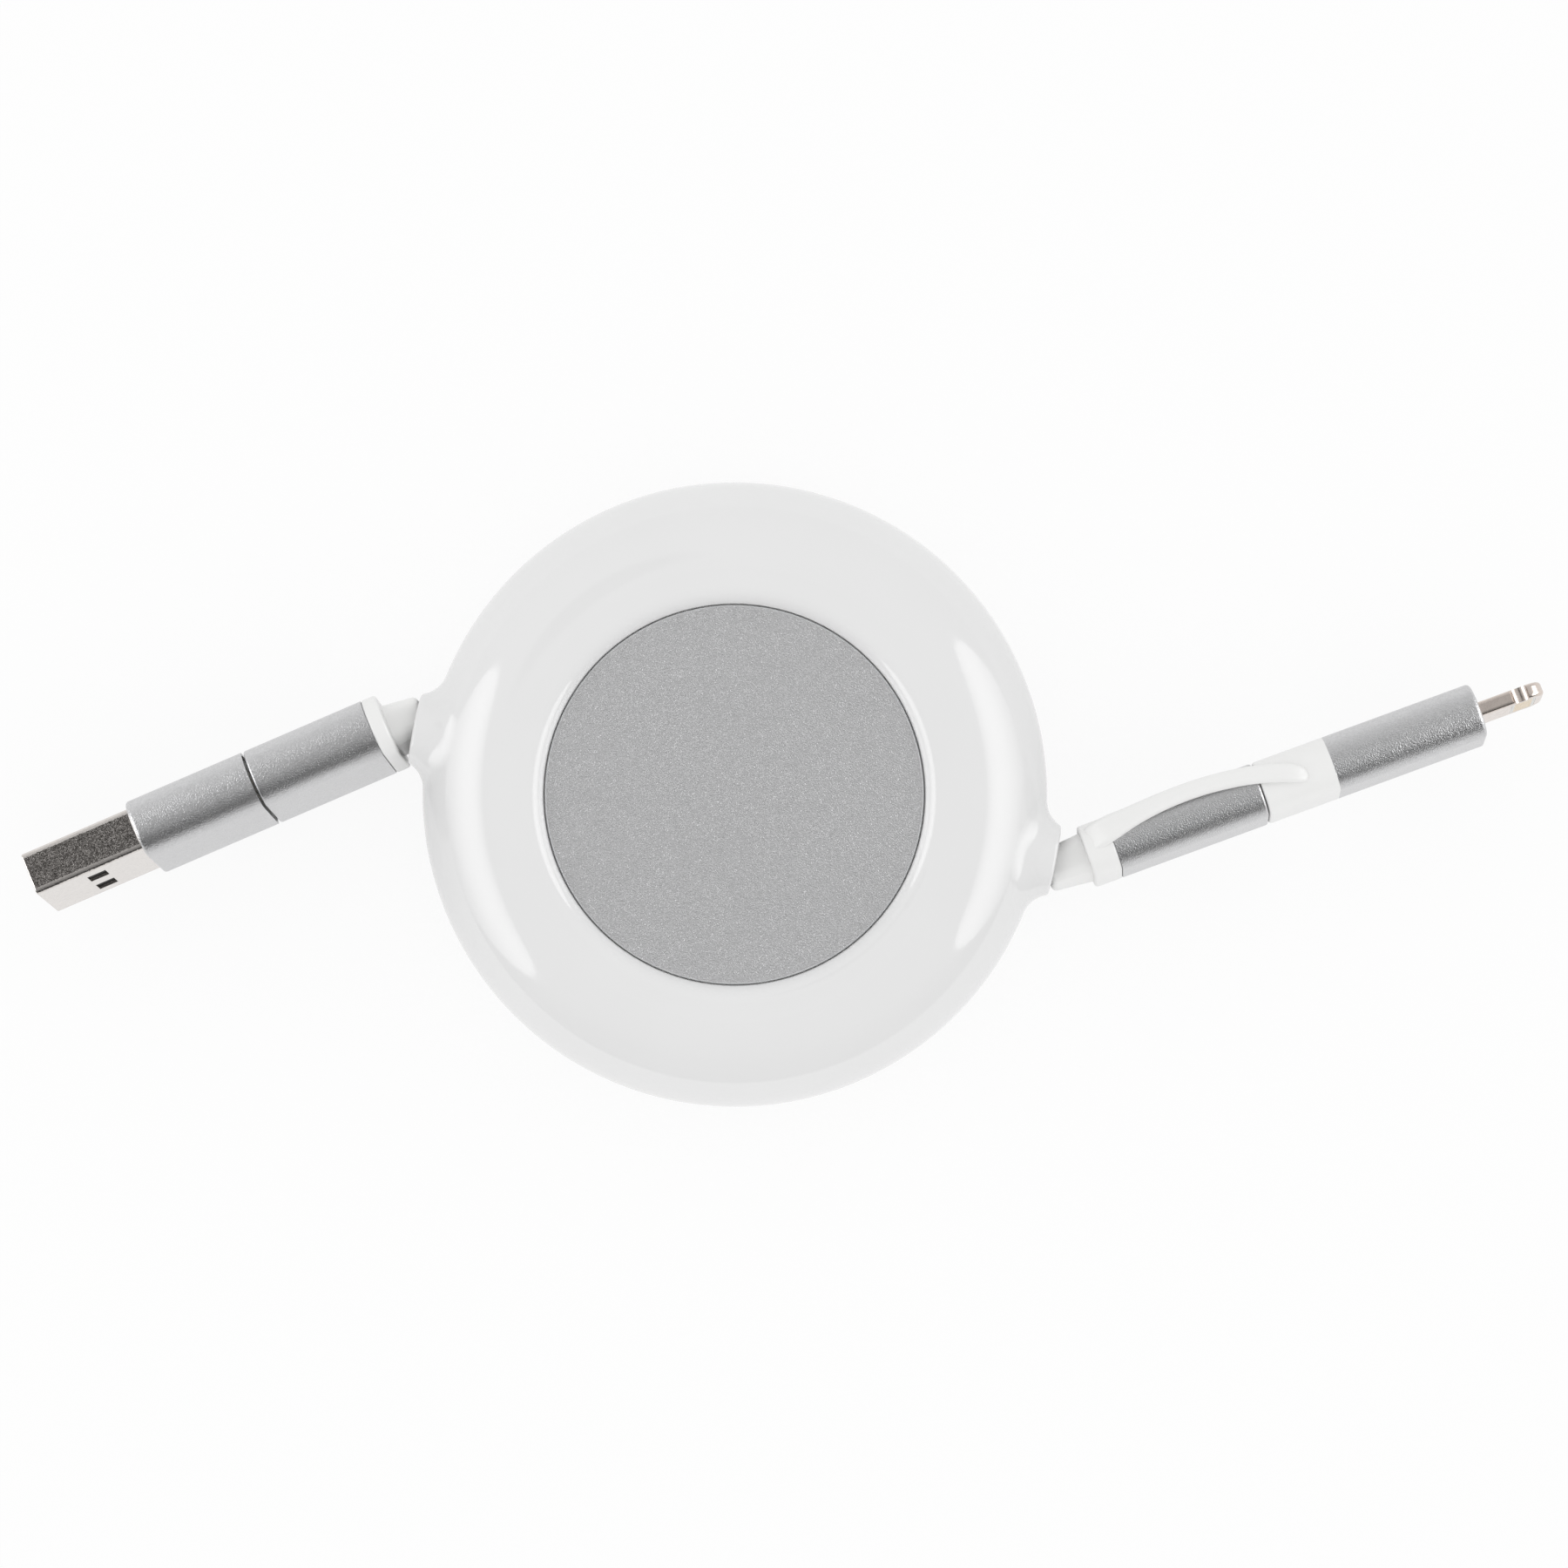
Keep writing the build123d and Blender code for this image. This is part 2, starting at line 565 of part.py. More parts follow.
# Pieces of both plugs, along X in the plug's own frame, with X = 0 at the collar's rear face
def boot(collar, boot_length, width, thickness, wall):
    """Collar, tapered strain relief behind it and spigot in front of it, moulded in one."""
    body = stadium_bar(0, collar, width, thickness)
    body = fillet(front_edges(body) + rear_edges(body), COLLAR_ROUND)
    rear = RectangleRounded(BOOT_THICKNESS - BOOT_TAPER, BOOT_WIDTH - BOOT_TAPER, BOOT_CORNER)
    front = RectangleRounded(BOOT_THICKNESS, BOOT_WIDTH, BOOT_CORNER)
    relief = loft([Plane.YZ.offset(-boot_length) * rear, Plane.YZ.offset(collar / 2) * front])
    relief = fillet(rear_edges(relief), BOOT_ROUND)
    inside = 2 * (wall + FIT)
    return body + relief + stadium_bar(collar / 2, collar + SPIGOT, width - inside, thickness - inside)


def sleeve(start, end, width, thickness, wall):
    """Aluminium sleeve with a rounded front edge, open at both ends."""
    outer = stadium_bar(start, end, width, thickness)
    outer = fillet(front_edges(outer), SLEEVE_ROUND)
    return outer - stadium_bar(start, end, width - 2 * wall, thickness - 2 * wall)


def sleeve_cup(start, end, width, thickness, wall):
    """Aluminium sleeve with an end wall at its front, before that wall is opened for the plug."""
    outer = stadium_bar(start, end, width, thickness)
    outer = fillet(front_edges(outer), NOSE_ROUND)
    return outer - stadium_bar(start, end - NOSE_WALL, width - 2 * wall, thickness - 2 * wall)


def plug_core(start, face, width, thickness, wall):
    """Plastic insert that fills a sleeve from the boot's spigot to its front and holds the plug."""
    inside = 2 * (wall + FIT)
    core = stadium_bar(start, face - CORE_SETBACK, width - inside, thickness - inside)
    return core - stadium_bar(face - PLUG_TANG, face, PLUG_WIDTH + 2 * FIT, PLUG_THICKNESS + 2 * FIT)


def plug_shell(face):
    """Drawn steel tube of the small plug."""
    start = face - PLUG_TANG
    end = face + PLUG_LENGTH
    inside = 2 * PLUG_WALL
    outer = stadium_bar(start, end, PLUG_WIDTH, PLUG_THICKNESS)
    return outer - stadium_bar(start, end, PLUG_WIDTH - inside, PLUG_THICKNESS - inside)


def plug_liner(face):
    """Plastic liner of the small plug, with the slot that takes the socket's tongue."""
    inside = 2 * (PLUG_WALL + FIT)
    front = face + PLUG_LENGTH - LINER_SETBACK
    liner = stadium_bar(face - PLUG_TANG, front, PLUG_WIDTH - inside, PLUG_THICKNESS - inside)
    return liner - plain_block(front - SLOT_DEPTH, front, SLOT_WIDTH, SLOT_HEIGHT)


def pin_rows(start, half_height, pin_height):
    """Two facing rows of contacts, each with its back half_height from the middle."""
    pins = []
    for row in (-1, 1):
        y = row * (half_height - pin_height / 2)
        for k in range(PIN_COUNT):
            z = (k - (PIN_COUNT - 1) / 2) * PIN_PITCH
            pins.append(plain_block(start, start + PIN_LENGTH, PIN_WIDTH, pin_height, y, z))
    return Compound(children=pins)


def plug_contacts(face):
    front = face + PLUG_LENGTH - LINER_SETBACK
    return pin_rows(front - SLOT_DEPTH, SLOT_HEIGHT / 2, PIN_HEIGHT)


def socket_shell(face, split):
    """Steel tube that the small plug's shell slides into."""
    start = face + split
    end = face + SOCKET_DEPTH
    outer = stadium_bar(start, end, SOCKET_WIDTH, SOCKET_THICKNESS)
    return outer - stadium_bar(start, end, PLUG_WIDTH + 2 * SLIP, PLUG_THICKNESS + 2 * SLIP)


def socket_pocket(face):
    """Room in an adapter's insert for the socket's shell."""
    return stadium_bar(face, face + SOCKET_DEPTH, SOCKET_WIDTH + 2 * FIT, SOCKET_THICKNESS + 2 * FIT)


def socket_tongue(face):
    """Tongue on a base that closes the socket's back."""
    end = face + SOCKET_DEPTH
    back = end - SOCKET_BACK
    inside = 2 * (SLIP - FIT)
    base = stadium_bar(back, end, PLUG_WIDTH + inside, PLUG_THICKNESS + inside)
    return base + plain_block(back - TONGUE_LENGTH, back, TONGUE_WIDTH, TONGUE_HEIGHT)


def socket_contacts(face):
    back = face + SOCKET_DEPTH - SOCKET_BACK
    return pin_rows(back - PIN_LENGTH, TONGUE_HEIGHT / 2 + PAD_HEIGHT, PAD_HEIGHT)


# Host adapter with the wide flat plug
def type_a_section(inset):
    return TYPE_A_WIDTH - 2 * inset, TYPE_A_THICKNESS - 2 * inset, TYPE_A_CORNER - inset


def type_a_shell():
    """Folded steel shell, open at the front, with two windows in each wide face."""
    start = HOST_FRONT - TYPE_A_TANG
    tip = HOST_FRONT + TYPE_A_LENGTH
    tube = block(start, tip, *type_a_section(0))
    tube = fillet(front_edges(tube), TYPE_A_TIP_ROUND) - block(start, tip, *type_a_section(TYPE_A_SHEET))
    window_end = tip - WINDOW_FROM_TIP
    for z in (-WINDOW_SPACING / 2, WINDOW_SPACING / 2):
        tube -= plain_block(window_end - WINDOW_LENGTH, window_end, WINDOW_WIDTH, 2 * TYPE_A_THICKNESS, 0, z)
    return tube


def type_a_tongue():
    """Plastic tongue along one wide side, on a base that fills the shell's rear."""
    width, thickness, corner = type_a_section(TYPE_A_SHEET + FIT)
    base = block(HOST_FRONT - TYPE_A_TANG, HOST_FRONT, width, thickness, corner)
    y = (thickness - TYPE_A_TONGUE) / 2
    tip = HOST_FRONT + TYPE_A_LENGTH - TYPE_A_TONGUE_SETBACK
    return base + plain_block(HOST_FRONT, tip, width - 2 * corner, TYPE_A_TONGUE, y)


def type_a_contacts():
    """Two long outer contacts and two shorter inner ones, on the tongue's open face."""
    thickness = type_a_section(TYPE_A_SHEET + FIT)[1]
    y = (thickness - TYPE_A_PIN_HEIGHT) / 2 - TYPE_A_TONGUE
    tip = HOST_FRONT + TYPE_A_LENGTH - TYPE_A_TONGUE_SETBACK - TYPE_A_PIN_SETBACK
    rows = ((TYPE_A_OUTER_SPACING, TYPE_A_OUTER_PIN), (TYPE_A_INNER_SPACING, TYPE_A_INNER_PIN))
    pins = []
    for spacing, length in rows:
        for z in (-spacing / 2, spacing / 2):
            pins.append(plain_block(tip - length, tip, TYPE_A_PIN_WIDTH, TYPE_A_PIN_HEIGHT, y, z))
    return Compound(children=pins)


def host_adapter_sleeve():
    """Front sleeve, opened at its nose for the wide plug."""
    cup = sleeve_cup(HOST_FACE + HOST_SPLIT, HOST_FRONT, *HOST_SIZE)
    return cup - block(HOST_FRONT - NOSE_WALL, HOST_FRONT, *type_a_section(-NOSE_CLEARANCE))


def host_adapter_core():
    """Insert of the adapter: the socket's pocket at its rear and the wide plug's at its front."""
    inside = 2 * (HOST_SLEEVE_WALL + FIT)
    start = HOST_FACE + HOST_SPLIT + CORE_SETBACK
    end = HOST_FRONT - NOSE_WALL - FIT
    core = stadium_bar(start, end, HOST_WIDTH - inside, HOST_THICKNESS - inside)
    plug_pocket = block(HOST_FRONT - TYPE_A_TANG, HOST_FRONT, *type_a_section(-FIT))
    return core - socket_pocket(HOST_FACE) - plug_pocket


# Phone adapter with the thin plug
def adapter_sleeve():
    """Sleeve in front of the socket, opened at its nose for the thin plug."""
    cup = sleeve_cup(PHONE_SHOULDER, PHONE_FRONT, *PHONE_SIZE)
    room = 2 * NOSE_CLEARANCE
    return cup - plain_block(PHONE_FRONT - NOSE_WALL, PHONE_FRONT, BLADE_WIDTH + room, BLADE_THICKNESS + room)


def adapter_socket():
    """White moulded socket that shows behind the sleeve and runs on through it."""
    inside = 2 * (PHONE_SLEEVE_WALL + FIT)
    body = stadium_bar(PHONE_FACE + PHONE_SPLIT, PHONE_SHOULDER, PHONE_WIDTH, PHONE_THICKNESS)
    body = fillet(rear_edges(body), COLLAR_ROUND)
    end = PHONE_FRONT - NOSE_WALL - FIT
    body += stadium_bar(PHONE_SHOULDER, end, PHONE_WIDTH - inside, PHONE_THICKNESS - inside)
    start = PHONE_FRONT - BLADE_TANG
    blade_slot = plain_block(start, PHONE_FRONT, BLADE_WIDTH + 2 * FIT, BLADE_THICKNESS + 2 * FIT)
    return body - socket_pocket(PHONE_FACE) - blade_slot


def blade_field(margin):
    """Window through the blade for its contacts."""
    plan = RectangleRounded(FIELD_LENGTH - 2 * margin, FIELD_WIDTH - 2 * margin, FIELD_CORNER - margin)
    middle = PHONE_FRONT + BLADE_LENGTH - FIELD_FROM_TIP - FIELD_LENGTH / 2
    return Pos(middle, 0, 0) * extrude(Plane.XZ * plan, BLADE_THICKNESS / 2, both=True)


def blade_frame():
    """Flat steel frame with round front corners, soft edges and a catch notch in each narrow side."""
    tip = PHONE_FRONT + BLADE_LENGTH
    blade = plain_block(PHONE_FRONT - BLADE_TANG, tip, BLADE_WIDTH, BLADE_THICKNESS)
    blade = fillet(front_edges(blade).filter_by(Axis.Y), BLADE_TIP_ROUND)
    wide_faces = blade.faces().sort_by(Axis.Y)
    rims = wide_faces[0].edges() + wide_faces[-1].edges()
    blade = fillet(rims.sort_by(Axis.X)[2:], BLADE_EDGE_ROUND)
    for side in (-1, 1):
        z = side * (BLADE_WIDTH / 2 + NOTCH_RADIUS - NOTCH_DEPTH)
        notch = Rot(90, 0, 0) * Cylinder(NOTCH_RADIUS, 2 * BLADE_THICKNESS)
        blade -= Pos(tip - NOTCH_FROM_TIP, 0, z) * notch
    return blade - blade_field(0)


def blade_pins():
    """Contacts set flush in both faces of the insulator."""
    middle = PHONE_FRONT + BLADE_LENGTH - FIELD_FROM_TIP - FIELD_LENGTH / 2
    half = BLADE_PIN_LENGTH / 2
    pins = []
    for face in (-1, 1):
        y = face * (BLADE_THICKNESS - BLADE_PIN_HEIGHT) / 2
        for k in range(BLADE_PIN_COUNT):
            z = (k - (BLADE_PIN_COUNT - 1) / 2) * BLADE_PIN_PITCH
            pins.append(plain_block(middle - half, middle + half, BLADE_PIN_WIDTH, BLADE_PIN_HEIGHT, y, z))
    return Compound(children=pins)


def blade_insulator():
    return blade_field(FIT / 2) - blade_pins()


def tether_strap():
    """Soft strap that bows out from the collar's narrow side to the socket's."""
    seat = PHONE_WIDTH / 2 + STRAP_THICKNESS / 2 - STRAP_SEAT
    root = Vector(STRAP_ROOT, STRAP_ROOT_SIDE, seat)
    tip = Vector(PHONE_FACE + STRAP_END, STRAP_TIP_SIDE, seat)
    path = ThreePointArc(root, (root + tip) / 2 + Vector(0, STRAP_SIDE_BOW, STRAP_LIFT), tip)
    section = Plane(origin=root, x_dir=(0, 1, 0), z_dir=path % 0) * RectangleRounded(
        STRAP_WIDTH, STRAP_THICKNESS, STRAP_ROUND)
    clear = 2 * STRAP_CLEARANCE
    plug = stadium_bar(-PHONE_FACE, 2 * PHONE_FACE, PHONE_WIDTH + clear, PHONE_THICKNESS + clear)
    return sweep(section, path) - plug


# Where the plugs stand, by their boots in the snouts' mouths
def plug_frame(side, inset, shift, angle, roll, boot_length):
    along, across = polar(boot_length, angle)
    place = Pos(MOUTH_REACH - inset + along, across - shift, MID)
    return Rot(0, 0, HALF_TURN * side) * place * Rot(0, 0, angle) * Rot(roll, 0, 0)


def housing_nodes():
    body = outer_body()
    inside = hollow()
    return {
        "upper_shell": upper_shell(body, inside),
        "lower_shell": lower_shell(body, inside),
        "face_plate": face_plate(),
        "plate_adhesive": plate_adhesive(),
        "centre_screw": centre_screw(),
        "ratchet_ball": ratchet_ball(),
    }


def reel_nodes():
    return {
        "reel_drum": reel_drum(),
        "reel_cover": reel_cover(),
        "mainspring": mainspring(),
        "cable_coil": cable_coil(),
        "host_cable_lead": Rot(0, 0, HALF_TURN) * cable_lead(HOST_INSET, HOST_SHIFT, HOST_ANGLE),
        "phone_cable_lead": cable_lead(PHONE_INSET, PHONE_SHIFT, PHONE_ANGLE),
    }


def host_nodes():
    frame = plug_frame(1, HOST_INSET, HOST_SHIFT, HOST_ANGLE, HOST_ROLL, HOST_BOOT_LENGTH)
    nodes = {
        "host_boot": boot(HOST_COLLAR, HOST_BOOT_LENGTH, *HOST_SIZE),
        "host_sleeve": sleeve(HOST_COLLAR, HOST_FACE, *HOST_SIZE),
        "host_core": plug_core(HOST_COLLAR + SPIGOT, HOST_FACE, *HOST_SIZE),
        "host_plug_shell": plug_shell(HOST_FACE),
        "host_plug_liner": plug_liner(HOST_FACE),
        "host_plug_contacts": plug_contacts(HOST_FACE),
        "host_adapter_sleeve": host_adapter_sleeve(),
        "host_adapter_core": host_adapter_core(),
        "host_socket_shell": socket_shell(HOST_FACE, HOST_SPLIT),
        "host_socket_tongue": socket_tongue(HOST_FACE),
        "host_socket_contacts": socket_contacts(HOST_FACE),
        "type_a_shell": type_a_shell(),
        "type_a_tongue": type_a_tongue(),
        "type_a_contacts": type_a_contacts(),
    }
    return {name: frame * shape for name, shape in nodes.items()}


def phone_nodes():
    frame = plug_frame(0, PHONE_INSET, PHONE_SHIFT, PHONE_ANGLE, PHONE_ROLL, PHONE_BOOT_LENGTH)
    nodes = {
        "phone_boot": boot(PHONE_COLLAR, PHONE_BOOT_LENGTH, *PHONE_SIZE),
        "phone_sleeve": sleeve(PHONE_COLLAR, PHONE_FACE, *PHONE_SIZE),
        "phone_core": plug_core(PHONE_COLLAR + SPIGOT, PHONE_FACE, *PHONE_SIZE),
        "phone_plug_shell": plug_shell(PHONE_FACE),
        "phone_plug_liner": plug_liner(PHONE_FACE),
        "phone_plug_contacts": plug_contacts(PHONE_FACE),
        "adapter_socket": adapter_socket(),
        "adapter_sleeve": adapter_sleeve(),
        "adapter_socket_shell": socket_shell(PHONE_FACE, PHONE_SPLIT),
        "adapter_socket_tongue": socket_tongue(PHONE_FACE),
        "adapter_socket_contacts": socket_contacts(PHONE_FACE),
        "blade_frame": blade_frame(),
        "blade_insulator": blade_insulator(),
        "blade_contacts": blade_pins(),
        "tether_strap": tether_strap(),
    }
    return {name: frame * shape for name, shape in nodes.items()}


def main():
    os.makedirs("parts", exist_ok=True)
    nodes = housing_nodes() | reel_nodes() | host_nodes() | phone_nodes()
    for name, shape in nodes.items():
        shape.label = name
        export_step(shape, f"parts/{name}.step")


main()
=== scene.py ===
import json
import math

import bmesh
import bpy
from mathutils import Matrix, Vector


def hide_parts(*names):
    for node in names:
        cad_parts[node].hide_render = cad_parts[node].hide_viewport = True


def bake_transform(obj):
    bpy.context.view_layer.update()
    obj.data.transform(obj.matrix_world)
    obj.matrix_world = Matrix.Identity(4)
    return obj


bl_info = {
    "name": "Retractable Charging Cable",
    "version": (1, 0, 0),
    "blender": (4, 5, 0),
    "location": "View3D > Sidebar > Charging Cable",
    "description": "Finishes, flat cable, tether strap and stage of a retractable charging cable",
    "category": "Object",
}

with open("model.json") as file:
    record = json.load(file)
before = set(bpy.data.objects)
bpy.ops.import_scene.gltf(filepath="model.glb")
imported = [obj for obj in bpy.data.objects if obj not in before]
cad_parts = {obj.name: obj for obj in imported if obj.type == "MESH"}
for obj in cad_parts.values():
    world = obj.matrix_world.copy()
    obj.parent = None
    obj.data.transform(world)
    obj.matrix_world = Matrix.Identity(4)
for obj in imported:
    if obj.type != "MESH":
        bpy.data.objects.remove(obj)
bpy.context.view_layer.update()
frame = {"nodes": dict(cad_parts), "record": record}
NODES = frame["nodes"]
MOUNTS = {mount["name"]: mount for mount in frame["record"]["mounts"]}

# Lengths are in metres, as the frame's are; MM turns millimetres into them
MM = 0.001

# Lengths along each plug: from its tip back to its collar's rear face, and of the boot behind that face
HOST_TIP_TO_COLLAR = 39.45 * MM
HOST_BOOT_LENGTH = 3.7 * MM
PHONE_TIP_TO_COLLAR = 49.62 * MM
PHONE_BOOT_LENGTH = 4.3 * MM

# Disc in the top, the cut on its edge, and the share of the cut that its satin face fades over
DISC_RADIUS = 19.2 * MM
DISC_CUT = 0.15 * MM
CUT_FADE = 0.25

# Outer section of the phone end's sleeves
PHONE_WIDTH = 11.2 * MM
PHONE_THICKNESS = 5.75 * MM

# Tether strap, in millimetres: place along the plug, side, stand off the sleeve, width and thickness
STRAP_STATIONS = (
    (0.2, 0.85, -1.00, 2.6, 0.8),
    (1.1, 0.95, -0.42, 2.9, 1.0),
    (2.2, 1.10, 0.08, 3.0, 1.2),
    (3.6, 1.30, 0.46, 2.8, 1.2),
    (5.0, 1.48, 0.68, 2.4, 1.2),
    (6.5, 1.70, 0.85, 2.2, 1.2),
    (9.0, 1.95, 1.00, 2.0, 1.2),
    (12.0, 2.05, 1.05, 1.95, 1.2),
    (15.0, 1.85, 1.00, 1.95, 1.2),
    (18.0, 1.40, 0.85, 2.0, 1.2),
    (20.5, 0.75, 0.65, 2.05, 1.2),
    (22.2, 0.12, 0.42, 2.1, 1.1),
    (23.0, -0.18, 0.28, 2.0, 1.0),
    (23.55, -0.35, 0.14, 1.6, 0.8),
    (23.9, -0.45, 0.02, 0.8, 0.5),
)

# Light tent round the plugs: degrees from the vertical toward the picture's foot, and brightness
TENT_STOPS = (
    (-180, 0.95), (-95, 0.85), (-80, 0.75), (-20, 0.66), (10, 0.38), (45, 0.24), (60, 0.06), (88, 0.06),
    (96, 0.85), (180, 0.95),
)
WHITE = (1, 1, 1, 1)
CARD_BLACK = "2C2A28"

# Half the floor's side, the camera's sensor in millimetres, and the nearest thing that it sees
FLOOR_HALF = 3.0
SENSOR_WIDTH = 36.0
CLIP_START = 10 * MM

# Range that most of a noise pattern lies in
NOISE_LOW = 0.3
NOISE_HIGH = 0.7

# Rolling marks on plated metal, against their own size: the stretch of the tone's drift, and the depth
MARK_DRIFT = 3
MARK_DEPTH = 0.01

# Colour sockets of a Mix node by number, since those for other kinds of data have the same names
MIX_FROM = 6
MIX_TO = 7
MIX_RESULT = 2

# Steps of the flat cable's sweep on the reel, in its bend and in its boot, and sides of a soft section
WRAP_STEPS = 90
BEND_STEPS = 30
BOOT_STEPS = 12
SECTION_SIDES = 24

# Verts nearer than this are one
MERGE_DISTANCE = 1e-4 * MM


def linear(hex_colour):
    """Linear colour with full alpha from an sRGB hex value."""
    channels = [int(hex_colour[k:k + 2], 16) / 255 for k in (0, 2, 4)]
    bright = [((c + 0.055) / 1.055) ** 2.4 if c > 0.04045 else c / 12.92 for c in channels]
    return (*bright, 1.0)


def per_size(size_mm):
    """Scale of a pattern on Object coordinates whose features are that many millimetres across."""
    return 1 / (size_mm * MM)


class FinishSettings(bpy.types.PropertyGroup):
    """Colours and gloss of the cable's surfaces."""

    shell_white: bpy.props.FloatVectorProperty(
        name="Shell white", description="Moulded white of the two shells", subtype="COLOR", size=4,
        min=0, max=1, default=linear("E9E9E9"))
    shell_roughness: bpy.props.FloatProperty(
        name="Shell roughness", description="Roughness of the polished mould's surface",
        subtype="FACTOR", min=0, max=1, default=0.09)
    disc_silver: bpy.props.FloatVectorProperty(
        name="Disc silver", description="Anodised silver of the disc", subtype="COLOR", size=4,
        min=0, max=1, default=linear("E4E4E5"))
    sleeve_silver: bpy.props.FloatVectorProperty(
        name="Sleeve silver", description="Anodised silver of the plugs' sleeves", subtype="COLOR", size=4,
        min=0, max=1, default=linear("D1D1D2"))
    collar_white: bpy.props.FloatVectorProperty(
        name="Collar white", description="Soft white of the collars, the strap and the adapter's socket",
        subtype="COLOR", size=4, min=0, max=1, default=linear("F0F0EF"))
    cable_white: bpy.props.FloatVectorProperty(
        name="Cable white", description="White of the flat cable's jacket", subtype="COLOR", size=4,
        min=0, max=1, default=linear("E6E6E5"))
    plug_steel: bpy.props.FloatVectorProperty(
        name="Plug steel", description="Nickel plate on the plugs' steel shells", subtype="COLOR", size=4,
        min=0, max=1, default=linear("DAD5D1"))
    blade_nickel: bpy.props.FloatVectorProperty(
        name="Blade nickel", description="Warm nickel of the thin plug's frame", subtype="COLOR", size=4,
        min=0, max=1, default=linear("DBD0C8"))


class RibbonSettings(bpy.types.PropertyGroup):
    """Section and course of the flat cable between the reel and the boots."""

    width: bpy.props.FloatProperty(
        name="Width", description="Width of the flat cable", unit="LENGTH", default=5.0 * MM)
    thickness: bpy.props.FloatProperty(
        name="Thickness", description="Thickness of the flat cable", unit="LENGTH", default=1.1 * MM)
    wrap_radius: bpy.props.FloatProperty(
        name="Wrap radius", description="Radius of the cable's last turn on the reel", unit="LENGTH",
        default=24.31 * MM)
    wrap_angle: bpy.props.FloatProperty(
        name="Wrap angle", description="Turn of the reel that the last stretch of cable lies on",
        subtype="ANGLE", default=math.radians(150))
    boot_depth: bpy.props.FloatProperty(
        name="Boot depth", description="How far the cable runs into its boot", unit="LENGTH",
        default=2.4 * MM)


class StrapSettings(bpy.types.PropertyGroup):
    """Turn, section and smoothness of the strap that tethers the phone adapter."""

    width_share: bpy.props.FloatProperty(
        name="Width share", description="Width of the strap against the measured width", subtype="FACTOR",
        min=0.5, max=1.5, default=1.0)
    lean: bpy.props.FloatProperty(
        name="Lean", description="How far the strap leans with the sleeve's round side", subtype="FACTOR",
        min=0, max=1, default=0.6)
    smoothing: bpy.props.IntProperty(
        name="Smoothing", description="Levels of subdivision", min=0, max=3, default=2)
    roll: bpy.props.FloatProperty(
        name="Roll", description="Turn of the plug about its own axis", subtype="ANGLE",
        default=math.radians(-9.2))


class StageSettings(bpy.types.PropertyGroup):
    """Camera, light panels, tent and floor."""

    image_turn: bpy.props.FloatProperty(
        name="Image turn", description="Turn of the picture about the vertical", subtype="ANGLE",
        default=math.radians(12))
    camera_place: bpy.props.FloatVectorProperty(
        name="Camera place", description="Place of the camera, looking straight down",
        subtype="TRANSLATION", unit="LENGTH", size=3, default=(4.7 * MM, 2.1 * MM, 650 * MM))
    view_width: bpy.props.FloatProperty(
        name="View width", description="Width of the picture at the plugs' height", unit="LENGTH",
        default=160.7 * MM)
    plug_height: bpy.props.FloatProperty(
        name="Plug height", description="Height of the plugs' axes over the floor", unit="LENGTH",
        default=9.0 * MM)
    panel_distance: bpy.props.FloatProperty(
        name="Panel distance", description="Distance of each light panel from the cable", unit="LENGTH",
        default=0.45)
    panel_width: bpy.props.FloatProperty(
        name="Panel width", description="Width of each light panel", unit="LENGTH", default=0.63)
    panel_height: bpy.props.FloatProperty(
        name="Panel height", description="Height of each light panel", unit="LENGTH", default=0.64)
    panel_turns: bpy.props.FloatVectorProperty(
        name="Panel turns", description="Turn of the left and the right panel about the vertical",
        subtype="EULER", unit="ROTATION", size=2, default=(math.radians(7), 0))
    panel_radiance: bpy.props.FloatProperty(
        name="Panel radiance", description="Brightness of the light panels' middle against white",
        min=0, default=3.0)
    tent_level: bpy.props.FloatProperty(
        name="Tent level", description="Even light of the tent on matt surfaces, against white",
        min=0, max=1, default=1.0)
    card_way: bpy.props.FloatVectorProperty(
        name="Card way", description="Way up from the cable to the dark card in the tent's roof",
        subtype="DIRECTION", size=3, default=(-0.318, 0.268, 0.909))
    card_radius: bpy.props.FloatProperty(
        name="Card radius", description="Half the angle that the dark card takes up", subtype="ANGLE",
        default=math.radians(8))
    card_softness: bpy.props.FloatProperty(
        name="Card softness", description="How far the card's soft edge reaches, against its radius",
        min=1, default=1.6)
    floor_glow: bpy.props.FloatProperty(
        name="Floor glow", description="Share of plain white in the floor as seen", subtype="FACTOR",
        min=0, max=1, default=0.88)


# Shader helpers
def new_finish(name):
    """A new material with its node tree and its main shader."""
    material = bpy.data.materials.new(name)
    material.use_nodes = True
    tree = material.node_tree
    return material, tree, tree.nodes["Principled BSDF"]


def add_node(tree, kind, settings=(), links=()):
    """Adds a node, sets its properties and input values by name, and links its inputs from sockets."""
    node = tree.nodes.new(kind)
    for name, value in dict(settings).items():
        if isinstance(name, int) or name in node.inputs:
            node.inputs[name].default_value = value
        else:
            setattr(node, name, value)
    for name, source in dict(links).items():
        tree.links.new(source, node.inputs[name])
    return node


def set_shader(shader, **values):
    """Sets constant values on a shader's own sockets, with _ in a name standing for a space."""
    for name, value in values.items():
        shader.inputs[name.replace("_", " ")].default_value = value


def dress(material, *names):
    """Gives CAD nodes a material."""
    for name in names:
        for slot in NODES[name].material_slots:
            slot.material = material


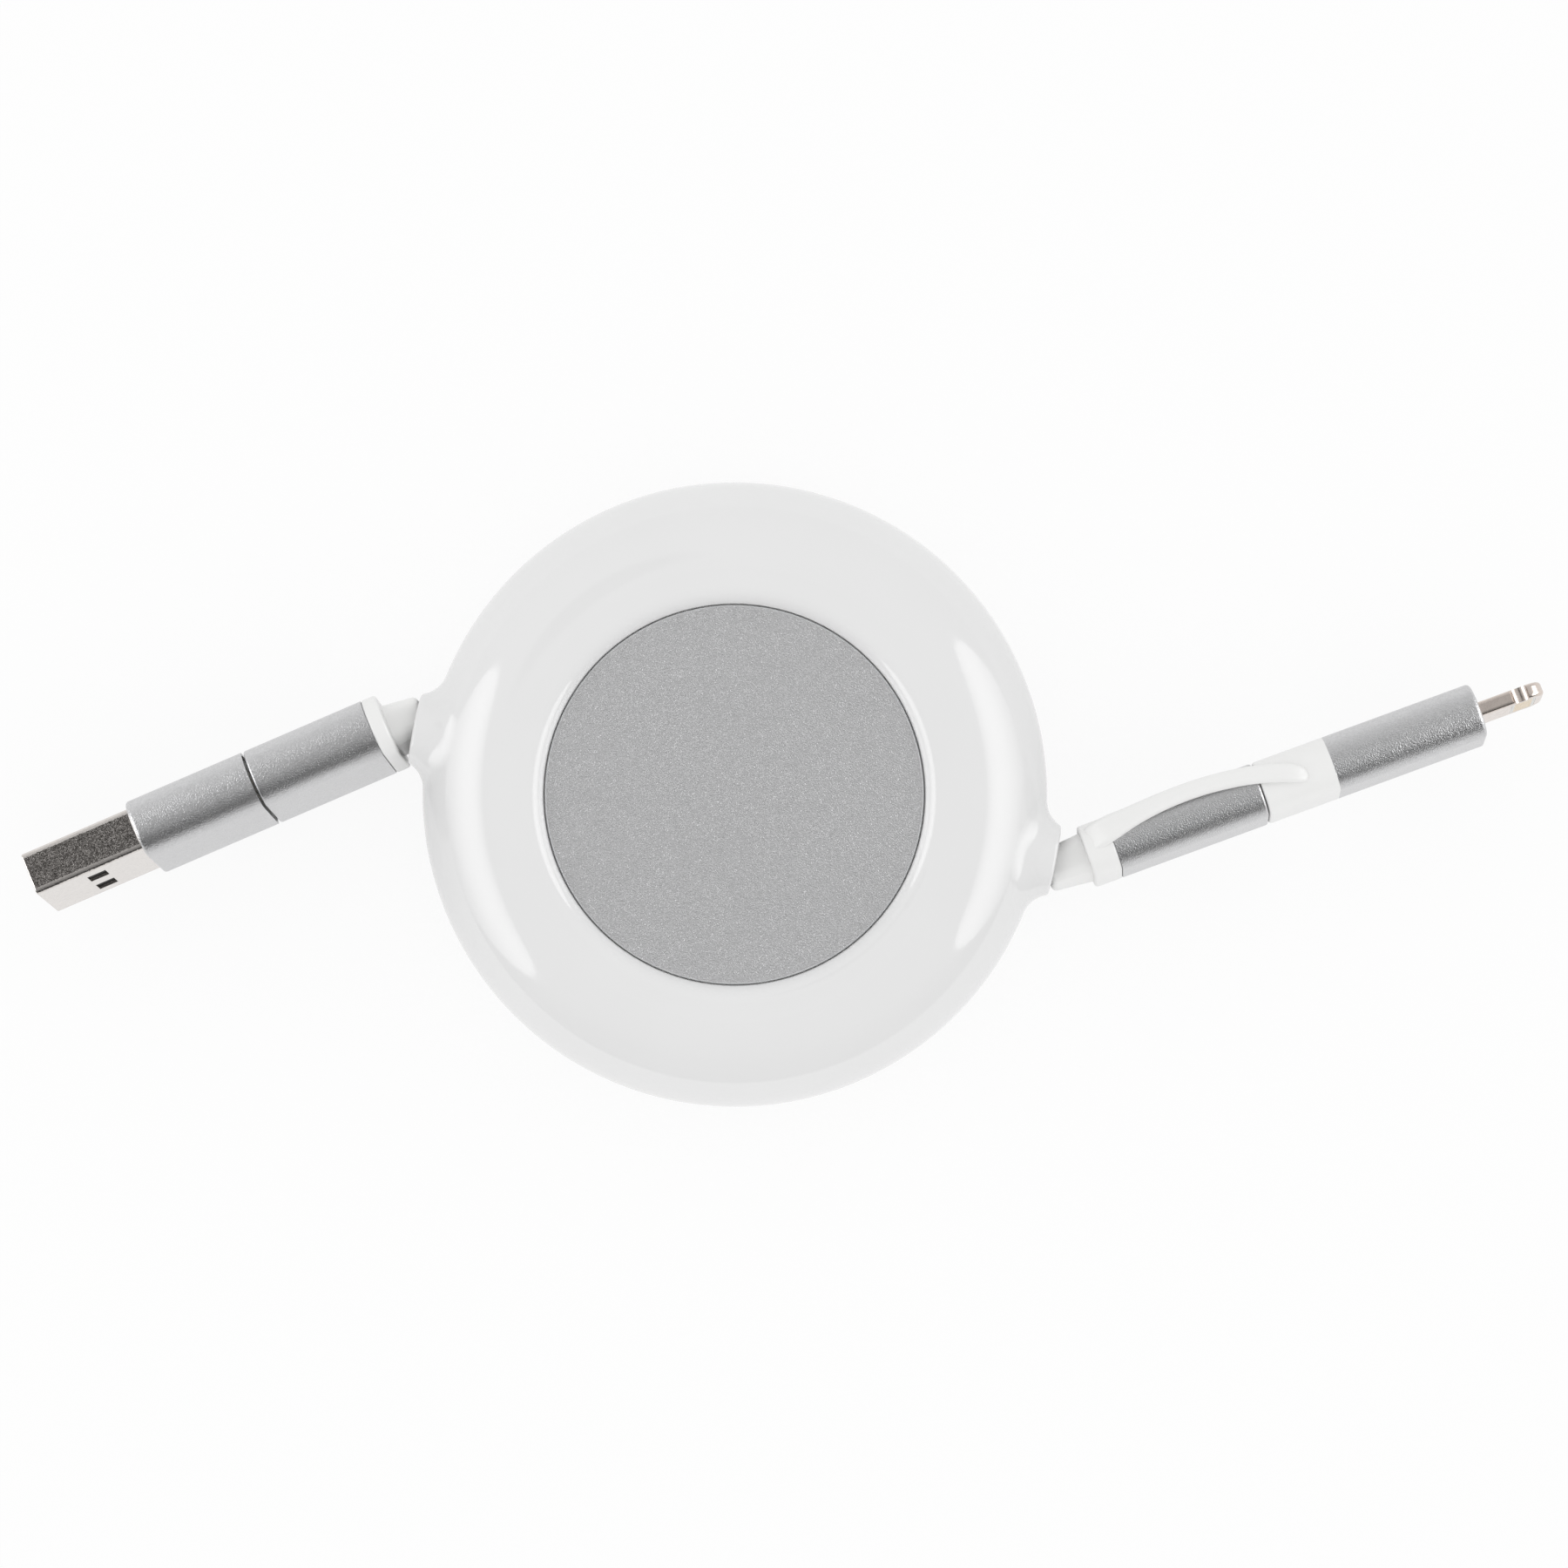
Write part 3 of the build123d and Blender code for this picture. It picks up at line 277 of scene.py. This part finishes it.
def toned_colour(tree, shader, colour, pattern, span, tones):
    """Base colour times a tone, where a pattern's span of values gives the span of tones."""
    (least, most), (darkest, lightest) = span, tones
    level = add_node(
        tree, "ShaderNodeMapRange",
        {"From Min": least, "From Max": most, "To Min": darkest, "To Max": lightest}, {"Value": pattern})
    tint = add_node(
        tree, "ShaderNodeVectorMath", {"operation": "SCALE", 0: colour[:3]},
        {"Scale": level.outputs["Result"]})
    tree.links.new(tint.outputs["Vector"], shader.inputs["Base Color"])


def varied_colour(tree, shader, colour, place, size_mm, low):
    """Base colour that drifts between a share of itself and the whole over features of a given size."""
    drift = add_node(
        tree, "ShaderNodeTexNoise", {"Scale": per_size(size_mm), "Detail": 2.0}, {"Vector": place})
    toned_colour(
        tree, shader, colour, drift.outputs["Fac"], span=(NOISE_LOW, NOISE_HIGH), tones=(low, 1.0))


def grained_surface(tree, shader, grain, roughness, spread, depth_mm):
    """Lets a pattern vary the gloss by a share either way, and dent the surface to a depth."""
    gloss = add_node(
        tree, "ShaderNodeMapRange",
        {"From Min": NOISE_LOW, "From Max": NOISE_HIGH,
         "To Min": (1 - spread) * roughness, "To Max": (1 + spread) * roughness},
        {"Value": grain})
    tree.links.new(gloss.outputs["Result"], shader.inputs["Roughness"])
    dents = add_node(
        tree, "ShaderNodeBump", {"Strength": 1.0, "Distance": depth_mm * MM}, {"Height": grain})
    tree.links.new(dents.outputs["Normal"], shader.inputs["Normal"])


def moulded_plastic(name, colour, roughness, texture_mm, depth_mm):
    """Injection-moulded plastic: even colour with a faint drift, and the mould's texture in its gloss."""
    material, tree, shader = new_finish(name)
    place = add_node(tree, "ShaderNodeTexCoord").outputs["Object"]
    varied_colour(tree, shader, colour, place, size_mm=14, low=0.985)
    texture = add_node(
        tree, "ShaderNodeTexNoise", {"Scale": per_size(texture_mm), "Detail": 3.0}, {"Vector": place})
    grained_surface(tree, shader, texture.outputs["Fac"], roughness, spread=0.15, depth_mm=depth_mm)
    set_shader(shader, IOR=1.5)
    return material


def blasted_metal(name, colour, roughness, grain_mm, slope, painted_sparkle):
    """Blasted metal: a satin ground with painted sparkle (each dent's cell a little lighter or darker in
    colour), and dents that glint where the light changes.
    """
    material, tree, shader = new_finish(name)
    place = add_node(tree, "ShaderNodeTexCoord").outputs["Object"]
    # Painted sparkle: each dent's cell gets a lighter or darker colour at random, standing in for the
    # glints and shade that single dents catch
    dents = add_node(tree, "ShaderNodeTexVoronoi", {"Scale": per_size(grain_mm)}, {"Vector": place})
    toned_colour(
        tree, shader, colour, dents.outputs["Color"], span=(0, 1), tones=(1 - painted_sparkle, 1 + painted_sparkle))
    grain = add_node(
        tree, "ShaderNodeTexNoise", {"Scale": per_size(grain_mm), "Detail": 2.0}, {"Vector": place})
    grained_surface(tree, shader, grain.outputs["Fac"], roughness, spread=0.15, depth_mm=slope * grain_mm)
    set_shader(shader, Metallic=1.0)
    return material


def plated_metal(name, colour, roughness, mark_mm):
    """Plated sheet metal: a smooth bright face with faint rolling marks in its gloss."""
    material, tree, shader = new_finish(name)
    place = add_node(tree, "ShaderNodeTexCoord").outputs["Object"]
    varied_colour(tree, shader, colour, place, size_mm=MARK_DRIFT * mark_mm, low=0.93)
    marks = add_node(
        tree, "ShaderNodeTexNoise", {"Scale": per_size(mark_mm), "Detail": 4.0}, {"Vector": place})
    grained_surface(
        tree, shader, marks.outputs["Fac"], roughness, spread=0.3, depth_mm=MARK_DEPTH * mark_mm)
    set_shader(shader, Metallic=1.0)
    return material


def extruded_jacket(name, finish):
    """Soft extruded cable jacket: plain white with a low sheen."""
    return moulded_plastic(name, finish.cable_white, roughness=0.42, texture_mm=0.25, depth_mm=0.004)


def soft_elastomer(name, finish):
    """Soft moulded elastomer: the whitest pieces, with a faint matt texture."""
    return moulded_plastic(name, finish.collar_white, roughness=0.4, texture_mm=0.35, depth_mm=0.006)


def cut_edge(material, bare_colour, inner_radius, cut_width, roughness):
    """Bares the metal on a round plate's cut edge, from a radius outwards."""
    tree = material.node_tree
    shader = tree.nodes["Principled BSDF"]
    place = add_node(tree, "ShaderNodeTexCoord").outputs["Object"]
    flat = add_node(tree, "ShaderNodeVectorMath", {"operation": "MULTIPLY", 1: (1, 1, 0)}, {0: place})
    radius = add_node(tree, "ShaderNodeVectorMath", {"operation": "LENGTH"}, {0: flat.outputs["Vector"]})
    bare = add_node(
        tree, "ShaderNodeMapRange",
        {"From Min": inner_radius - CUT_FADE * cut_width, "From Max": inner_radius},
        {"Value": radius.outputs["Value"]})
    satin = shader.inputs["Roughness"].links[0].from_socket
    gloss = add_node(
        tree, "ShaderNodeMapRange", {"To Max": roughness},
        {"Value": bare.outputs["Result"], "To Min": satin})
    tree.links.new(gloss.outputs["Result"], shader.inputs["Roughness"])
    tint = shader.inputs["Base Color"].links[0].from_socket
    tone = add_node(
        tree, "ShaderNodeMix", {"data_type": "RGBA", MIX_TO: bare_colour},
        {"Factor": bare.outputs["Result"], MIX_FROM: tint})
    tree.links.new(tone.outputs[MIX_RESULT], shader.inputs["Base Color"])


# Mesh helpers
def new_piece(name, bm, material):
    """Makes a bmesh a finished, smooth-shaded piece at the origin."""
    bmesh.ops.remove_doubles(bm, verts=bm.verts, dist=MERGE_DISTANCE)
    bmesh.ops.recalc_face_normals(bm, faces=bm.faces)
    for face in bm.faces:
        face.smooth = True
    mesh = bpy.data.meshes.new(name)
    bm.to_mesh(mesh)
    bm.free()
    mesh.materials.append(material)
    piece = bpy.data.objects.new(name, mesh)
    bpy.context.scene.collection.objects.link(piece)
    return piece


def oblong_ring(bm, width, thickness, place):
    """Ring of edges round an oblong section with full-round narrow sides: thickness on X, width on Y."""
    # Half a step's turn keeps each vert off the middle line, so that it goes to one side
    half_step = Matrix.Rotation(math.pi / SECTION_SIDES, 4, "Z")
    circle = bmesh.ops.create_circle(bm, segments=SECTION_SIDES, radius=thickness / 2, matrix=half_step)
    ring = circle["verts"]
    for vert in ring:
        vert.co.y += math.copysign((width - thickness) / 2, vert.co.y)
    bmesh.ops.transform(bm, matrix=place, verts=ring)
    return ring


def ring_edges(ring):
    """Edges between the verts of one ring."""
    verts = set(ring)
    edges = dict.fromkeys(edge for vert in ring for edge in vert.link_edges)
    return [edge for edge in edges if verts.issuperset(edge.verts)]


def spin_ring(bm, ring, centre, axis, angle, steps):
    """Sweeps a ring round an axis and returns the ring at the end."""
    swept = bmesh.ops.spin(
        bm, geom=list(ring) + ring_edges(ring), cent=centre, axis=axis, angle=angle, steps=steps)
    return [item for item in swept["geom_last"] if isinstance(item, bmesh.types.BMVert)]


def draw_ring(bm, ring, way, steps):
    """Draws a ring out straight in equal steps."""
    for _ in range(steps):
        drawn = bmesh.ops.extrude_edge_only(bm, edges=ring_edges(ring))["geom"]
        ring = [item for item in drawn if isinstance(item, bmesh.types.BMVert)]
        bmesh.ops.translate(bm, vec=way / steps, verts=ring)


def plug_way(mount):
    """Tip of a plug and the way that it points."""
    return Vector(MOUNTS[mount]["pos_m"]), Vector(MOUNTS[mount]["axis"])


# Pieces
class CHARGER_OT_shells(bpy.types.Operator):
    """Finish the two moulded shells"""

    bl_idname = "charger.shells"
    bl_label = "Shells"

    def execute(self, context):
        finish = context.scene.charger_finish
        # Polished ABS: glossy, with the slow waviness that a moulded wall has over some millimetres
        white = moulded_plastic(
            "polished_white_abs", finish.shell_white, finish.shell_roughness,
            texture_mm=6.0, depth_mm=0.002)
        dress(white, "upper_shell", "lower_shell")
        return {"FINISHED"}


class CHARGER_OT_disc(bpy.types.Operator):
    """Finish the disc in the top, its adhesive and the closing screw"""

    bl_idname = "charger.disc"
    bl_label = "Disc"

    def execute(self, context):
        finish = context.scene.charger_finish
        # Blasted aluminium: matt to the eye, with a glint here and there where a dent faces a light, and a
        # painted sparkle of lighter and darker dents in its colour.
        # Its dents are drawn coarser than real grit leaves them, so that they show.
        disc = blasted_metal(
            "blasted_disc_aluminium", finish.disc_silver,
            roughness=0.34, grain_mm=0.14, slope=0.39, painted_sparkle=0.06)
        # The edge is cut back to bare metal, so that a thin bright line runs round the matt face
        cut_edge(disc, linear("F3F4F5"), DISC_RADIUS - DISC_CUT, DISC_CUT, roughness=0.15)
        dress(disc, "face_plate")
        # Foamed acrylic tape: dull and slightly yellow
        tape = moulded_plastic(
            "acrylic_tape", linear("D9D6CC"), roughness=0.6, texture_mm=0.4, depth_mm=0.01)
        dress(tape, "plate_adhesive")
        # Zinc plate: a cool grey with soft highlights
        screw = plated_metal("zinc_plated_screw", linear("B9BCC0"), roughness=0.3, mark_mm=0.3)
        dress(screw, "centre_screw")
        return {"FINISHED"}


class CHARGER_OT_reel(bpy.types.Operator):
    """Finish the reel, its spring, the wound cable and the catch's ball"""

    bl_idname = "charger.reel"
    bl_label = "Reel"

    def execute(self, context):
        finish = context.scene.charger_finish
        # Acetal: waxy off-white, between matt and gloss
        acetal = moulded_plastic(
            "acetal_reel", linear("DDDCD8"), roughness=0.38, texture_mm=0.3, depth_mm=0.004)
        dress(acetal, "reel_drum", "reel_cover")
        # Blued spring strip: dark and bluish, with faint marks in its shine
        spring = plated_metal("tempered_spring_steel", linear("7E8790"), roughness=0.28, mark_mm=0.5)
        dress(spring, "mainspring")
        # Soft extruded jacket: plain white with a low sheen
        dress(extruded_jacket("cable_jacket", finish), "cable_coil")
        # Ground ball: near mirror
        ball = plated_metal("bearing_ball_steel", linear("C9CBCE"), roughness=0.08, mark_mm=0.4)
        dress(ball, "ratchet_ball")
        return {"FINISHED"}


class CHARGER_OT_sleeves(bpy.types.Operator):
    """Finish the four aluminium sleeves"""

    bl_idname = "charger.sleeves"
    bl_label = "Sleeves"

    def execute(self, context):
        finish = context.scene.charger_finish
        # Blasted aluminium tube: bands of light along the sleeves, with sparkle where a band turns dark,
        # partly from the dents and partly painted as lighter and darker dents in the colour.
        # Their dents are drawn coarser than real grit leaves them, so that they show.
        silver = blasted_metal(
            "blasted_sleeve_aluminium", finish.sleeve_silver,
            roughness=0.33, grain_mm=0.14, slope=0.39, painted_sparkle=0.08)
        dress(silver, "host_sleeve", "host_adapter_sleeve", "phone_sleeve", "adapter_sleeve")
        return {"FINISHED"}


class CHARGER_OT_mouldings(bpy.types.Operator):
    """Finish the boots, the inserts in the sleeves and the phone adapter's socket"""

    bl_idname = "charger.mouldings"
    bl_label = "Boots and inserts"

    def execute(self, context):
        finish = context.scene.charger_finish
        # Soft elastomer: the whitest pieces, with a faint matt texture
        soft = soft_elastomer("soft_white_elastomer", finish)
        dress(soft, "host_boot", "phone_boot", "adapter_socket")
        # Unpolished ABS: a little greyer and duller than the shells
        firm = moulded_plastic(
            "white_insert_abs", linear("E4E4E2"), roughness=0.35, texture_mm=0.3, depth_mm=0.004)
        dress(firm, "host_core", "phone_core", "host_adapter_core")
        return {"FINISHED"}


class CHARGER_OT_plugs(bpy.types.Operator):
    """Finish the shells, liners, tongues and contacts of the plugs and sockets"""

    bl_idname = "charger.plugs"
    bl_label = "Plugs"

    def execute(self, context):
        finish = context.scene.charger_finish
        # Dull nickel on drawn steel: mirrors broad light and dark, broken by the sheet's own fine grain and
        # by a faint painted sparkle of lighter and darker grains in its colour.
        # The grain is drawn coarser than the sheet's, so that it shows.
        drawn = blasted_metal(
            "dull_nickel_steel", finish.plug_steel, roughness=0.15, grain_mm=0.22, slope=0.14, painted_sparkle=0.05)
        dress(drawn, "type_a_shell")
        # Bright nickel: a clean mirror with a warm tinge
        steel = plated_metal("nickel_plated_shell", finish.plug_steel, roughness=0.14, mark_mm=0.35)
        dress(steel, "host_plug_shell", "phone_plug_shell", "host_socket_shell", "adapter_socket_shell")
        # Nickel over bronze: warmer still, and a little duller
        blade = plated_metal("nickel_blade", finish.blade_nickel, roughness=0.22, mark_mm=0.5)
        dress(blade, "blade_frame")
        # Glass-filled polymer: black, with a dry sheen
        black = moulded_plastic(
            "black_liner_polymer", linear("1B1B1C"), roughness=0.45, texture_mm=0.2, depth_mm=0.004)
        dress(black, "host_plug_liner", "phone_plug_liner", "host_socket_tongue", "adapter_socket_tongue",
              "type_a_tongue")
        # The same in white, round the blade's contacts
        white = moulded_plastic(
            "white_insulator_polymer", linear("DCDCD8"), roughness=0.4, texture_mm=0.2, depth_mm=0.004)
        dress(white, "blade_insulator")
        # Gold flash: yellow, smooth and thin
        gold = plated_metal("gold_flash", linear("D9B36A"), roughness=0.2, mark_mm=0.2)
        dress(gold, "host_plug_contacts", "phone_plug_contacts", "host_socket_contacts",
              "adapter_socket_contacts", "type_a_contacts", "blade_contacts")
        return {"FINISHED"}


def flat_cable(name, settings, material, mount, collar_length, boot_length):
    """Flat cable from the reel's last turn, bent back into its boot; with it, the boot's rear and way."""
    tip, way = plug_way(mount)
    rear = tip - way * (collar_length + boot_length)
    side = Vector((way.y, -way.x, 0))
    flat = Vector((rear.x, rear.y, 0))
    # The bend is the one arc that touches the last turn from outside and meets the boot along its way
    reach = flat.length_squared - settings.wrap_radius ** 2
    bend = reach / (2 * (settings.wrap_radius + flat.dot(side)))
    bend_centre = rear - bend * side
    leave = math.atan2(bend_centre.y, bend_centre.x)
    bend_angle = (math.atan2(side.y, side.x) - leave + math.pi) % math.tau
    start = leave + settings.wrap_angle
    up = Vector((0, 0, 1))
    axis_foot = Vector((0, 0, rear.z))
    place = Matrix.Translation(axis_foot) @ Matrix.Rotation(start, 4, "Z")
    place = place @ Matrix.Translation((settings.wrap_radius, 0, 0)) @ Matrix.Rotation(math.pi / 2, 4, "X")
    bm = bmesh.new()
    first = oblong_ring(bm, settings.width, settings.thickness, place)
    last = spin_ring(bm, first, axis_foot, up, -settings.wrap_angle, WRAP_STEPS)
    last = spin_ring(bm, last, bend_centre, up, bend_angle, BEND_STEPS)
    draw_ring(bm, last, way * settings.boot_depth, BOOT_STEPS)
    bmesh.ops.holes_fill(bm, edges=[edge for edge in bm.edges if edge.is_boundary])
    return new_piece(name, bm, material), rear, way


class CHARGER_OT_cables(bpy.types.Operator):
    """Build the two stretches of flat cable between the reel and the boots"""

    bl_idname = "charger.cables"
    bl_label = "Flat cables"

    def execute(self, context):
        settings = context.scene.charger_ribbon
        finish = context.scene.charger_finish
        # Soft extruded jacket, as on the reel: plain white with a low sheen
        jacket = extruded_jacket("flat_cable_jacket", finish)
        ends = (
            ("host_flat_cable", "host_wide_plug", HOST_TIP_TO_COLLAR, HOST_BOOT_LENGTH, "host"),
            ("phone_flat_cable", "phone_thin_plug", PHONE_TIP_TO_COLLAR, PHONE_BOOT_LENGTH, "phone"),
        )
        for name, mount, collar_length, boot_length, end in ends:
            cable, rear, way = flat_cable(name, settings, jacket, mount, collar_length, boot_length)
            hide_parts(f"{end}_cable_lead")
            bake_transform(cable)
        return {"FINISHED"}


class CHARGER_OT_strap(bpy.types.Operator):
    """Build the soft strap that tethers the phone adapter"""

    bl_idname = "charger.strap"
    bl_label = "Tether strap"

    def execute(self, context):
        settings = context.scene.charger_strap
        finish = context.scene.charger_finish
        # Soft elastomer, as on the collars: white with a faint matt texture
        soft = soft_elastomer("soft_white_strap", finish)
        tip, way = plug_way("phone_thin_plug")
        collar = tip - way * PHONE_TIP_TO_COLLAR
        plug = Matrix.Translation(collar) @ way.to_track_quat("X", "Z").to_matrix().to_4x4()
        plug = plug @ Matrix.Rotation(settings.roll, 4, "X")
        round_radius = PHONE_THICKNESS / 2
        round_centre = Matrix.Translation((0, 0, PHONE_WIDTH / 2 - round_radius))
        upright = Matrix.Rotation(math.pi / 2, 4, "Y")
        bm = bmesh.new()
        rings = []
        for along, side, stand, width, thickness in STRAP_STATIONS:
            turn = math.asin(side * MM / round_radius)
            rise = round_radius * math.cos(turn) + stand * MM
            lean = Matrix.Rotation(-settings.lean * turn, 4, "X")
            place = plug @ round_centre @ Matrix.Translation((along * MM, side * MM, rise)) @ lean @ upright
            rings.append(oblong_ring(bm, settings.width_share * width * MM, thickness * MM, place))
        for near, far in zip(rings, rings[1:]):
            bmesh.ops.bridge_loops(bm, edges=ring_edges(near) + ring_edges(far))
        bmesh.ops.holes_fill(bm, edges=[edge for edge in bm.edges if edge.is_boundary])
        strap = new_piece("soft_tether_strap", bm, soft)
        smooth = strap.modifiers.new("smooth", "SUBSURF")
        smooth.levels = settings.smoothing
        smooth.render_levels = settings.smoothing
        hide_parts("tether_strap")
        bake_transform(strap)
        return {"FINISHED"}


def white_floor(glow_share):
    """Matt white paper that stays near white to the eye and in the metal, and keeps a soft shadow."""
    material, tree, shader = new_finish("white_paper")
    set_shader(shader, Base_Color=linear("F4F4F4"), Roughness=0.9)
    path = add_node(tree, "ShaderNodeLightPath").outputs
    seen = add_node(
        tree, "ShaderNodeMath", {"operation": "MAXIMUM"},
        {0: path["Is Camera Ray"], 1: path["Is Transmission Ray"]})
    seen = add_node(
        tree, "ShaderNodeMath", {"operation": "MAXIMUM"},
        {0: seen.outputs["Value"], 1: path["Is Glossy Ray"]})
    share = add_node(
        tree, "ShaderNodeMath", {"operation": "MULTIPLY", 1: glow_share}, {0: seen.outputs["Value"]})
    glow = add_node(tree, "ShaderNodeEmission", {"Color": WHITE, "Strength": 1.0})
    paper = add_node(
        tree, "ShaderNodeMixShader", {},
        {0: share.outputs["Value"], 1: shader.outputs["BSDF"], 2: glow.outputs["Emission"]})
    tree.links.new(paper.outputs["Shader"], tree.nodes["Material Output"].inputs["Surface"])
    return material


def studio_world(image_up, settings):
    """Light tent: even on matt surfaces and white to the eye, with a dark foot and card for the gloss."""
    world = bpy.data.worlds.new("light_tent")
    world.use_nodes = True
    tree = world.node_tree
    tree.nodes.clear()
    direction = add_node(tree, "ShaderNodeTexCoord").outputs["Generated"]
    lean = add_node(
        tree, "ShaderNodeVectorMath", {"operation": "DOT_PRODUCT", 1: -image_up}, {0: direction})
    height = add_node(tree, "ShaderNodeSeparateXYZ", {}, {"Vector": direction}).outputs["Z"]
    angle = add_node(
        tree, "ShaderNodeMath", {"operation": "ARCTAN2"}, {0: lean.outputs["Value"], 1: height})
    place = add_node(
        tree, "ShaderNodeMapRange", {"From Min": -math.pi, "From Max": math.pi},
        {"Value": angle.outputs["Value"]})
    tent = add_node(tree, "ShaderNodeValToRGB", {}, {"Fac": place.outputs["Result"]})
    ramp = tent.color_ramp.elements
    while len(ramp) < len(TENT_STOPS):
        ramp.new(1.0)
    # The ramp runs from -180 to 180 degrees
    for stop, (degrees, value) in zip(ramp, TENT_STOPS):
        stop.position = degrees / 360 + 0.5
        stop.color = (value, value, value, 1)
    path = add_node(tree, "ShaderNodeLightPath").outputs
    card_way = Vector(settings.card_way).normalized()
    near_card = add_node(
        tree, "ShaderNodeVectorMath", {"operation": "DOT_PRODUCT", 1: card_way}, {0: direction})
    card = add_node(
        tree, "ShaderNodeMapRange",
        {"From Min": math.cos(settings.card_softness * settings.card_radius),
         "From Max": math.cos(settings.card_radius)},
        {"Value": near_card.outputs["Value"]})
    roof = add_node(
        tree, "ShaderNodeMix", {"data_type": "RGBA", MIX_TO: linear(CARD_BLACK)},
        {"Factor": card.outputs["Result"], MIX_FROM: tent.outputs["Color"]})
    even = [settings.tent_level] * 3
    matt = add_node(
        tree, "ShaderNodeMix", {"data_type": "RGBA", MIX_TO: (*even, 1)},
        {"Factor": path["Is Diffuse Ray"], MIX_FROM: roof.outputs[MIX_RESULT]})
    tone = add_node(
        tree, "ShaderNodeMix", {"data_type": "RGBA", MIX_TO: WHITE},
        {"Factor": path["Is Camera Ray"], MIX_FROM: matt.outputs[MIX_RESULT]})
    background = add_node(
        tree, "ShaderNodeBackground", {"Strength": 1.0}, {"Color": tone.outputs[MIX_RESULT]})
    output = add_node(tree, "ShaderNodeOutputWorld")
    tree.links.new(background.outputs["Background"], output.inputs["Surface"])
    return world


def light_panel(name, place, target, width, height, radiance):
    """Soft oval lamp, brightest along its middle, that shows only in gloss."""
    lamp = bpy.data.lights.new(name, "AREA")
    lamp.shape = "ELLIPSE"
    lamp.size = width
    lamp.size_y = height
    area = math.pi / 4 * width * height
    lamp.energy = radiance * math.pi * area
    panel = bpy.data.objects.new(name, lamp)
    panel.location = place
    panel.rotation_euler = (target - place).to_track_quat("-Z", "Y").to_euler()
    panel.visible_camera = False
    panel.visible_diffuse = False
    bpy.context.scene.collection.objects.link(panel)
    lamp.use_nodes = True
    tree = lamp.node_tree
    on_panel = add_node(tree, "ShaderNodeNewGeometry").outputs["Parametric"]
    height_share = add_node(tree, "ShaderNodeSeparateXYZ", {}, {"Vector": on_panel}).outputs["Y"]
    from_top = add_node(tree, "ShaderNodeMath", {"operation": "SUBTRACT", 0: 1.0}, {1: height_share})
    fade = add_node(
        tree, "ShaderNodeMath", {"operation": "MULTIPLY"}, {0: height_share, 1: from_top.outputs["Value"]})
    # 4h(1 - h) is full at the middle and nothing at the top and foot
    strength = add_node(
        tree, "ShaderNodeMath", {"operation": "MULTIPLY", 1: 4.0}, {0: fade.outputs["Value"]})
    tree.links.new(strength.outputs["Value"], tree.nodes["Emission"].inputs["Strength"])


class CHARGER_OT_stage(bpy.types.Operator):
    """Build the floor, the light panels, the tent and the camera"""

    bl_idname = "charger.stage"
    bl_label = "Stage"

    def execute(self, context):
        settings = context.scene.charger_stage
        turn = Matrix.Rotation(settings.image_turn, 3, "Z")
        right = turn @ Vector((1, 0, 0))
        image_up = turn @ Vector((0, 1, 0))
        bm = bmesh.new()
        bmesh.ops.create_grid(bm, x_segments=1, y_segments=1, size=FLOOR_HALF)
        mesh = bpy.data.meshes.new("floor")
        bm.to_mesh(mesh)
        bm.free()
        mesh.materials.append(white_floor(settings.floor_glow))
        floor = bpy.data.objects.new("floor", mesh)
        context.scene.collection.objects.link(floor)

        middle = Vector((0, 0, settings.panel_height / 2))
        sides = (("left_panel", -right), ("right_panel", right))
        for (name, side), panel_turn in zip(sides, settings.panel_turns):
            place = middle + settings.panel_distance * (Matrix.Rotation(panel_turn, 3, "Z") @ side)
            light_panel(
                name, place, middle, settings.panel_width, settings.panel_height, settings.panel_radiance)
        context.scene.world = studio_world(image_up, settings)

        lens = bpy.data.cameras.new("camera")
        lens.sensor_width = SENSOR_WIDTH
        place = Vector(settings.camera_place)
        lens.lens = lens.sensor_width * (place.z - settings.plug_height) / settings.view_width
        lens.clip_start = CLIP_START
        camera = bpy.data.objects.new("camera", lens)
        camera.location = place
        camera.rotation_euler = (0, 0, settings.image_turn)
        context.scene.collection.objects.link(camera)
        context.scene.camera = camera
        context.scene.view_settings.view_transform = "Standard"
        return {"FINISHED"}


class CHARGER_PT_panel(bpy.types.Panel):
    """Lists the cable's pieces in the order that they are made"""

    bl_label = "Charging Cable"
    bl_idname = "CHARGER_PT_panel"
    bl_space_type = "VIEW_3D"
    bl_region_type = "UI"
    bl_category = "Charging Cable"

    def draw(self, context):
        for piece in PIECES:
            self.layout.operator(piece.bl_idname)


SETTINGS = {
    "charger_finish": FinishSettings,
    "charger_ribbon": RibbonSettings,
    "charger_strap": StrapSettings,
    "charger_stage": StageSettings,
}
PIECES = (
    CHARGER_OT_stage, CHARGER_OT_shells, CHARGER_OT_disc, CHARGER_OT_reel, CHARGER_OT_sleeves,
    CHARGER_OT_mouldings, CHARGER_OT_plugs, CHARGER_OT_cables, CHARGER_OT_strap,
)


def register():
    for group in (*SETTINGS.values(), *PIECES, CHARGER_PT_panel):
        bpy.utils.register_class(group)
    for name, group in SETTINGS.items():
        setattr(bpy.types.Scene, name, bpy.props.PointerProperty(type=group))


def unregister():
    for name in SETTINGS:
        delattr(bpy.types.Scene, name)
    for group in (CHARGER_PT_panel, *reversed(PIECES), *reversed(SETTINGS.values())):
        bpy.utils.unregister_class(group)


def main():
    register()
    for make in (
        bpy.ops.charger.stage, bpy.ops.charger.shells, bpy.ops.charger.disc, bpy.ops.charger.reel,
        bpy.ops.charger.sleeves, bpy.ops.charger.mouldings, bpy.ops.charger.plugs, bpy.ops.charger.cables,
        bpy.ops.charger.strap,
    ):
        make()


if __name__ == "__main__":
    main()
